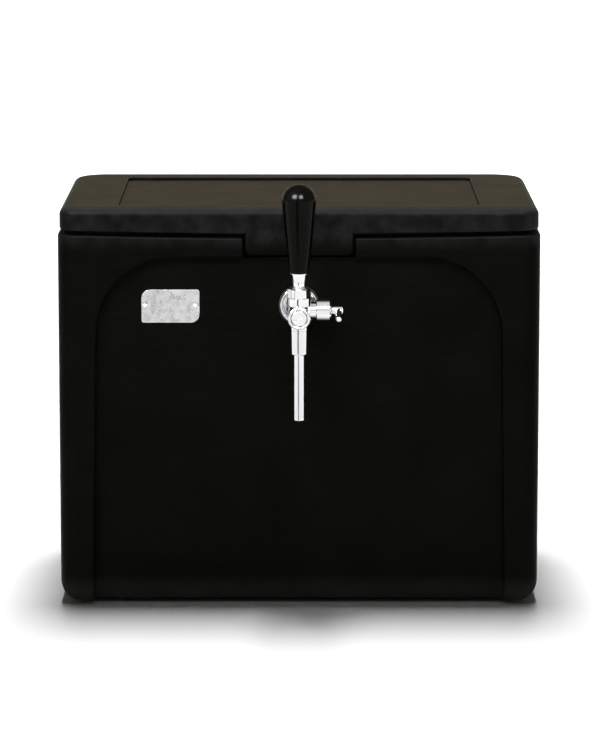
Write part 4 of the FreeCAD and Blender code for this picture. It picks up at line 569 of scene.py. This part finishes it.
def smoothCopy(nodeName, edge):
    piece = copyNode(nodeName)
    roundEdges(piece, edge)
    smoothEdges(piece)
    finishPiece(piece, nodeName + "Skin", nodeName)


# Where the tap's axes and faces are; its profiles are lists of (radius, height)
tap = {
    "panel": -117.8,
    "axis": 320.3,
    "leverDepth": -192.8,
    "ballHeight": 344.5,
    "spoutDepth": -184.3,
    "flowDepth": -155.8,
    "facingFront": (90, 0, 0),
    "facingRight": (0, 90, 0),
}
aboveBall = (0, tap["leverDepth"], tap["ballHeight"])


# Tap handle and ferrule

handle = {
    "foot": 9.9,
    "head": 17.7,
    "footHeight": 20.6,
    "footInset": 0.6,
    "footRound": 0.5,
    "shoulder": 95,
    "belly": 0.5,
    "sideSteps": 16,
    "domeStart": 6,  # degrees, as the last point of the side stands for 0
    "domeSteps": 14,
    "studHole": 4.05,
    "studTop": 40.5,
}


def makeHandle():
    low, high, foot = handle["footHeight"], handle["shoulder"], handle["foot"]
    stud = handle["studHole"]
    profile = [(0, handle["studTop"]), (stud, handle["studTop"]), (stud, low),
               (foot - handle["footInset"], low)]
    start = low + handle["footRound"]
    for step in range(handle["sideSteps"] + 1):
        part = step / handle["sideSteps"]
        swell = handle["belly"] * 4 * part * (1 - part)  # the whole belly at half height
        radius = foot + (handle["head"] - foot) * part + swell
        profile.append((radius, start + (high - start) * part))
    profile += arcPoints(0, high, handle["head"], handle["domeStart"], 90, handle["domeSteps"])
    piece = turnedPiece(profile, aboveBall)
    smoothEdges(piece)
    finishPiece(piece, "handleBlack", "tap_handle")


ferrule = {
    "sides": 72,
    "profile": ((4.05, 20.6), (9.5, 20.6), (9.9, 20.3), (9.85, 19.8), (9.3, 18.9), (8.6, 17.4),
                (7.9, 15.4), (7.35, 13.4), (6.95, 11.8), (6.8, 10.9), (6.8, 10.2), (4.05, 10.2),
                (4.05, 20.6)),
}


def makeFerrule():
    piece = turnedPiece(ferrule["profile"], aboveBall, sides=ferrule["sides"])
    smoothEdges(piece, "turned")
    finishPiece(piece, "ferruleFlare", "handle_ferrule")


# Six-sided nut over the lever's ball, heights from the ball's middle

upperNut = {
    "sides": 6,
    "turn": 30,  # a flat faces the front
    "flats": 22.3,
    "corner": 12.3,
    "low": -5.5,
    "high": 4.2,
    "spare": 4,  # longer at each end, cut off by the rim
    "soft": 2.6,
    "softSteps": 5,
    "chamferIn": 1.3,
    "chamferUp": 0.8,
    "rimIn": 1.7,
    "past": 1,
    "thread": 11.05,
    "threadTop": -2.4,
    "socket": 9.9,
    "socketSteps": 5,
    "edge": 0.25,
}


def makeUpperNut():
    deselectAll()
    low, high, corner = upperNut["low"], upperNut["high"], upperNut["corner"]
    past, socket, thread = upperNut["past"], upperNut["socket"], upperNut["thread"]
    across = upperNut["flats"] / 2 / math.cos(math.radians(30)) / perMetre
    length = (high - low + 2 * upperNut["spare"]) / perMetre
    bpy.ops.mesh.primitive_cylinder_add(vertices=upperNut["sides"], radius=across, depth=length,
                                        location=(0, 0, 0))
    piece = bpy.context.object
    middle = tap["ballHeight"] + (low + high) / 2
    settle(piece, (0, tap["leverDepth"], middle), (0, 0, upperNut["turn"]))
    applyModifier(piece, "BEVEL", width=upperNut["soft"] / perMetre, segments=upperNut["softSteps"])
    flat = corner - upperNut["chamferIn"]
    rimIn = flat - upperNut["rimIn"]
    side = upperNut["chamferUp"]
    rim = [(0, low - past), (rimIn, low - past), (flat, low), (corner, low + side),
           (corner, high - side), (flat, high), (rimIn, high + past), (0, high + past)]
    combine(piece, turnedPiece(rim, aboveBall), "INTERSECT")
    mouth = math.degrees(math.asin(high / socket))
    step = upperNut["threadTop"]
    bore = [(0, low - past), (thread, low - past), (thread, step), (socket, step)]
    bore += arcPoints(0, 0, socket, 0, mouth, upperNut["socketSteps"])
    bore += [(socket * math.cos(math.radians(mouth)), high + past), (0, high + past)]
    combine(piece, turnedPiece(bore, aboveBall), "DIFFERENCE")
    roundEdges(piece, upperNut["edge"])
    smoothEdges(piece)
    finishPiece(piece, "ballNut", "bonnet_nut")


# Tap body: its boss is cut to a collar on a narrower neck, heights from the barrel's axis

neck = {
    "edge": 0.45,
    "radius": 9.5,
    "outside": 16,
    "low": -0.4,
    "high": 9.7,
    "fillet": 0.5,
    "collarFoot": ((12.4, 1.6), (12.1, 0.8), (11.2, 0.15), (10.0, 0)),
    "barrel": 11.63,
    "barrelStart": 10,  # behind the panel
    "barrelLength": 120,
}


def makeTapBody():
    piece = copyNode("tap_body")
    roundEdges(piece, neck["edge"])
    low, high, inside, outside = neck["low"], neck["high"], neck["radius"], neck["outside"]
    ring = [(inside, low), (outside, low), (outside, high + neck["collarFoot"][0][1])]
    ring += [(radius, high + rise) for radius, rise in neck["collarFoot"]]
    ring += [(inside, high - neck["fillet"]), (inside, low)]
    cutter = turnedPiece(ring, (0, tap["leverDepth"], tap["axis"]))
    barrel = [(0, 0), (neck["barrel"], 0), (neck["barrel"], neck["barrelLength"]),
              (0, neck["barrelLength"])]
    place = (0, tap["panel"] + neck["barrelStart"], tap["axis"])
    combine(cutter, turnedPiece(barrel, place, tap["facingFront"]), "DIFFERENCE")
    combine(piece, cutter, "DIFFERENCE")
    smoothEdges(piece)
    finishPiece(piece, "tapCasting", "tap_body")


# Front cap with its rounded ring, and a black ring in its recess as painted shadow of the gap

frontCap = {
    "start": 88.0,  # in front of the panel
    "spigot": 7.4,
    "spigotLength": 2,
    "edge": 11.6,
    "edgeRound": 0.4,
    "outerRound": 1.3,
    "outerSteps": 6,
    "innerRound": 0.8,
    "innerSteps": 5,
    "recess": 8.6,
    "floor": 4.6,
    "hole": 3.95,
    "length": 9.0,
    # a black ring that paints the shadow in the recess's gap
    "seal": ((7.7, 4.7), (8.55, 4.7), (8.55, 7.6), (8.3, 7.9), (7.9, 7.9), (7.7, 7.6), (7.7, 4.7)),
}
capPlace = (0, tap["panel"] - frontCap["start"], tap["axis"])


def makeFrontCap():
    edge, length, recess = frontCap["edge"], frontCap["length"], frontCap["recess"]
    hole, spigot, back = frontCap["hole"], frontCap["spigot"], frontCap["spigotLength"]
    small, outer, inner = frontCap["edgeRound"], frontCap["outerRound"], frontCap["innerRound"]
    profile = [(hole, 0), (spigot, 0), (spigot, back), (edge - small, back), (edge, back + small)]
    profile += arcPoints(edge - outer, length - outer, outer, 0, 90, frontCap["outerSteps"])
    profile += arcPoints(recess + inner, length - inner, inner, 90, 180, frontCap["innerSteps"])
    profile += [(recess, frontCap["floor"]), (hole, frontCap["floor"]), (hole, 0)]
    piece = turnedPiece(profile, capPlace, tap["facingFront"])
    smoothEdges(piece, "turned")
    finishPiece(piece, "capRing", "front_cap")


# a black ring in the cap's recess, painted shadow of the gap there
def makeCapGapShadow():
    piece = turnedPiece(frontCap["seal"], capPlace, tap["facingFront"])
    smoothEdges(piece, "turned")
    piece.name = "capGapShadow"
    giveFinish(piece, "rubber")
    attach(piece, homeBody["front_cap"])


# Rosette: a rounded rim and a steep cone up to the barrel, heights from the panel

rosette = {
    "bore": 7.95,
    "back": 2,
    "rim": 20.0,
    "rimRound": 0.3,
    "rimSide": 3.4,
    "lip": 1.5,
    "lipHeight": 3.5,
    "lipEnd": 150,
    "lipSteps": 9,
    "cone": ((16.9, 3.7), (16.4, 3.9), (15.4, 5.3), (14.4, 7.1), (13.8, 8.6), (13.5, 9)),
}


def makeRosette():
    rim, bore, back, lip = rosette["rim"], rosette["bore"], rosette["back"], rosette["lip"]
    small = rosette["rimRound"]
    profile = [(bore, back), (rim - small, back), (rim, back + small), (rim, rosette["rimSide"])]
    profile += arcPoints(rim - lip, rosette["lipHeight"], lip, 0, rosette["lipEnd"],
                         rosette["lipSteps"])
    profile += [*rosette["cone"], (bore, rosette["cone"][-1][1]), (bore, back)]
    piece = turnedPiece(profile, (0, tap["panel"], tap["axis"]), tap["facingFront"])
    smoothEdges(piece, "turned")
    finishPiece(piece, "wallRosette", "rosette")


# Spout: head, shoulder and straight tube, heights from the tap body's lower face

spout = {
    "top": 304.3,
    "profile": ((4.3, 4.8), (7.0, 4.8), (7.0, 0), (9.2, 0), (9.5, -0.3), (9.4, -6), (9.05, -24.6),
                (8.8, -25.5), (8.1, -26), (6.4, -26), (6.1, -26.3), (6.0, -27), (6.0, -94.3),
                (5.7, -94.9), (5.2, -95), (4.6, -94.9), (4.3, -94.5), (4.3, 4.8)),
}


def makeSpout():
    piece = turnedPiece(spout["profile"], (0, tap["spoutDepth"], spout["top"]))
    smoothEdges(piece, "turned")
    finishPiece(piece, "spoutTube", "spout")


# Knurled nut: every second edge of its side is drawn in

knob = {
    "radius": 12.6,
    "near": 18.0,
    "far": 35.0,
    "nearRound": 0.6,
    "farSide": 3.2,
    "farCorner": (1.5, 1.6),
    "farFace": (5.4, 0.15),
    "thread": 8.05,
    "threadEnd": 27.3,
    "stem": 4.3,
    "sides": 144,
    "knurl": 0.975,
    "nearEdge": 0.02,
}


def makeKnob():
    near, far, edge = knob["near"], knob["far"], knob["radius"]
    thread, stem, small = knob["thread"], knob["stem"], knob["nearRound"]
    cornerIn, cornerDown = knob["farCorner"]
    faceRadius, faceDown = knob["farFace"]
    profile = [(thread, near), (edge - small, near), (edge, near + small),
               (edge, far - knob["farSide"]), (edge - cornerIn, far - cornerDown),
               (faceRadius, far - faceDown), (stem, far), (stem, knob["threadEnd"]),
               (thread, knob["threadEnd"]), (thread, near)]
    piece = turnedPiece(profile, (0, 0, 0), sides=knob["sides"])
    for vertex in piece.data.vertices:
        across = math.hypot(vertex.co.x, vertex.co.y) * perMetre
        turn = math.degrees(math.atan2(vertex.co.y, vertex.co.x)) / 360
        onSide = abs(across - edge) < knob["nearEdge"]
        vertex.select = onSide and round(turn * knob["sides"]) % 2 == 0
    bpy.ops.object.mode_set(mode="EDIT")
    bpy.ops.transform.resize(value=(knob["knurl"], knob["knurl"], 1), center_override=(0, 0, 0))
    bpy.ops.object.mode_set(mode="OBJECT")
    settle(piece, (0, tap["flowDepth"], tap["axis"]), tap["facingRight"])
    smoothEdges(piece, "knurl")
    finishPiece(piece, "knurledNut", "compensator_nut")


setCamera()
setWorld()
for lampName, lampPlan in studio.items():
    addLamp(lampName, lampPlan)
addFloor()
addFlag()
for nodeName, node in nodes.items():
    giveFinish(node, slotOf[nodeName])
print("camera, lamps, floor and finishes set")

makeHandle()
makeFerrule()
makeUpperNut()
makeTapBody()
makeFrontCap()
makeCapGapShadow()
makeRosette()
makeSpout()
makeKnob()
print("tap made")

# The remaining seen nodes keep their CAD shape and get rounded edges, in millimetres
roundedEdges = {
    "body_moulding": 0.8,
    "lid_moulding": 0.8,
    "name_plate": 0.4,
    "rubber_feet": 0.8,
    "drain_cap": 0.4,
    "cap_screw": 0.25,
    "tap_lever": 0.25,
    "compensator_spindle": 0.25,
    "compensator_lever": 0.25,
    "plate_rivets": 0.25,
    "inlet_fitting": 0.25,
    "drain_bush": 0.25,
    "hinge_body_leaves": 0.25,
    "hinge_lid_leaves": 0.25,
    "hinge_pins": 0.25,
    "rosette_gasket": 0.25,
}
for nodeName, edge in roundedEdges.items():
    smoothCopy(nodeName, edge)
print("shells and small pieces rounded")

bpy.context.scene.view_settings.view_transform = "Standard"
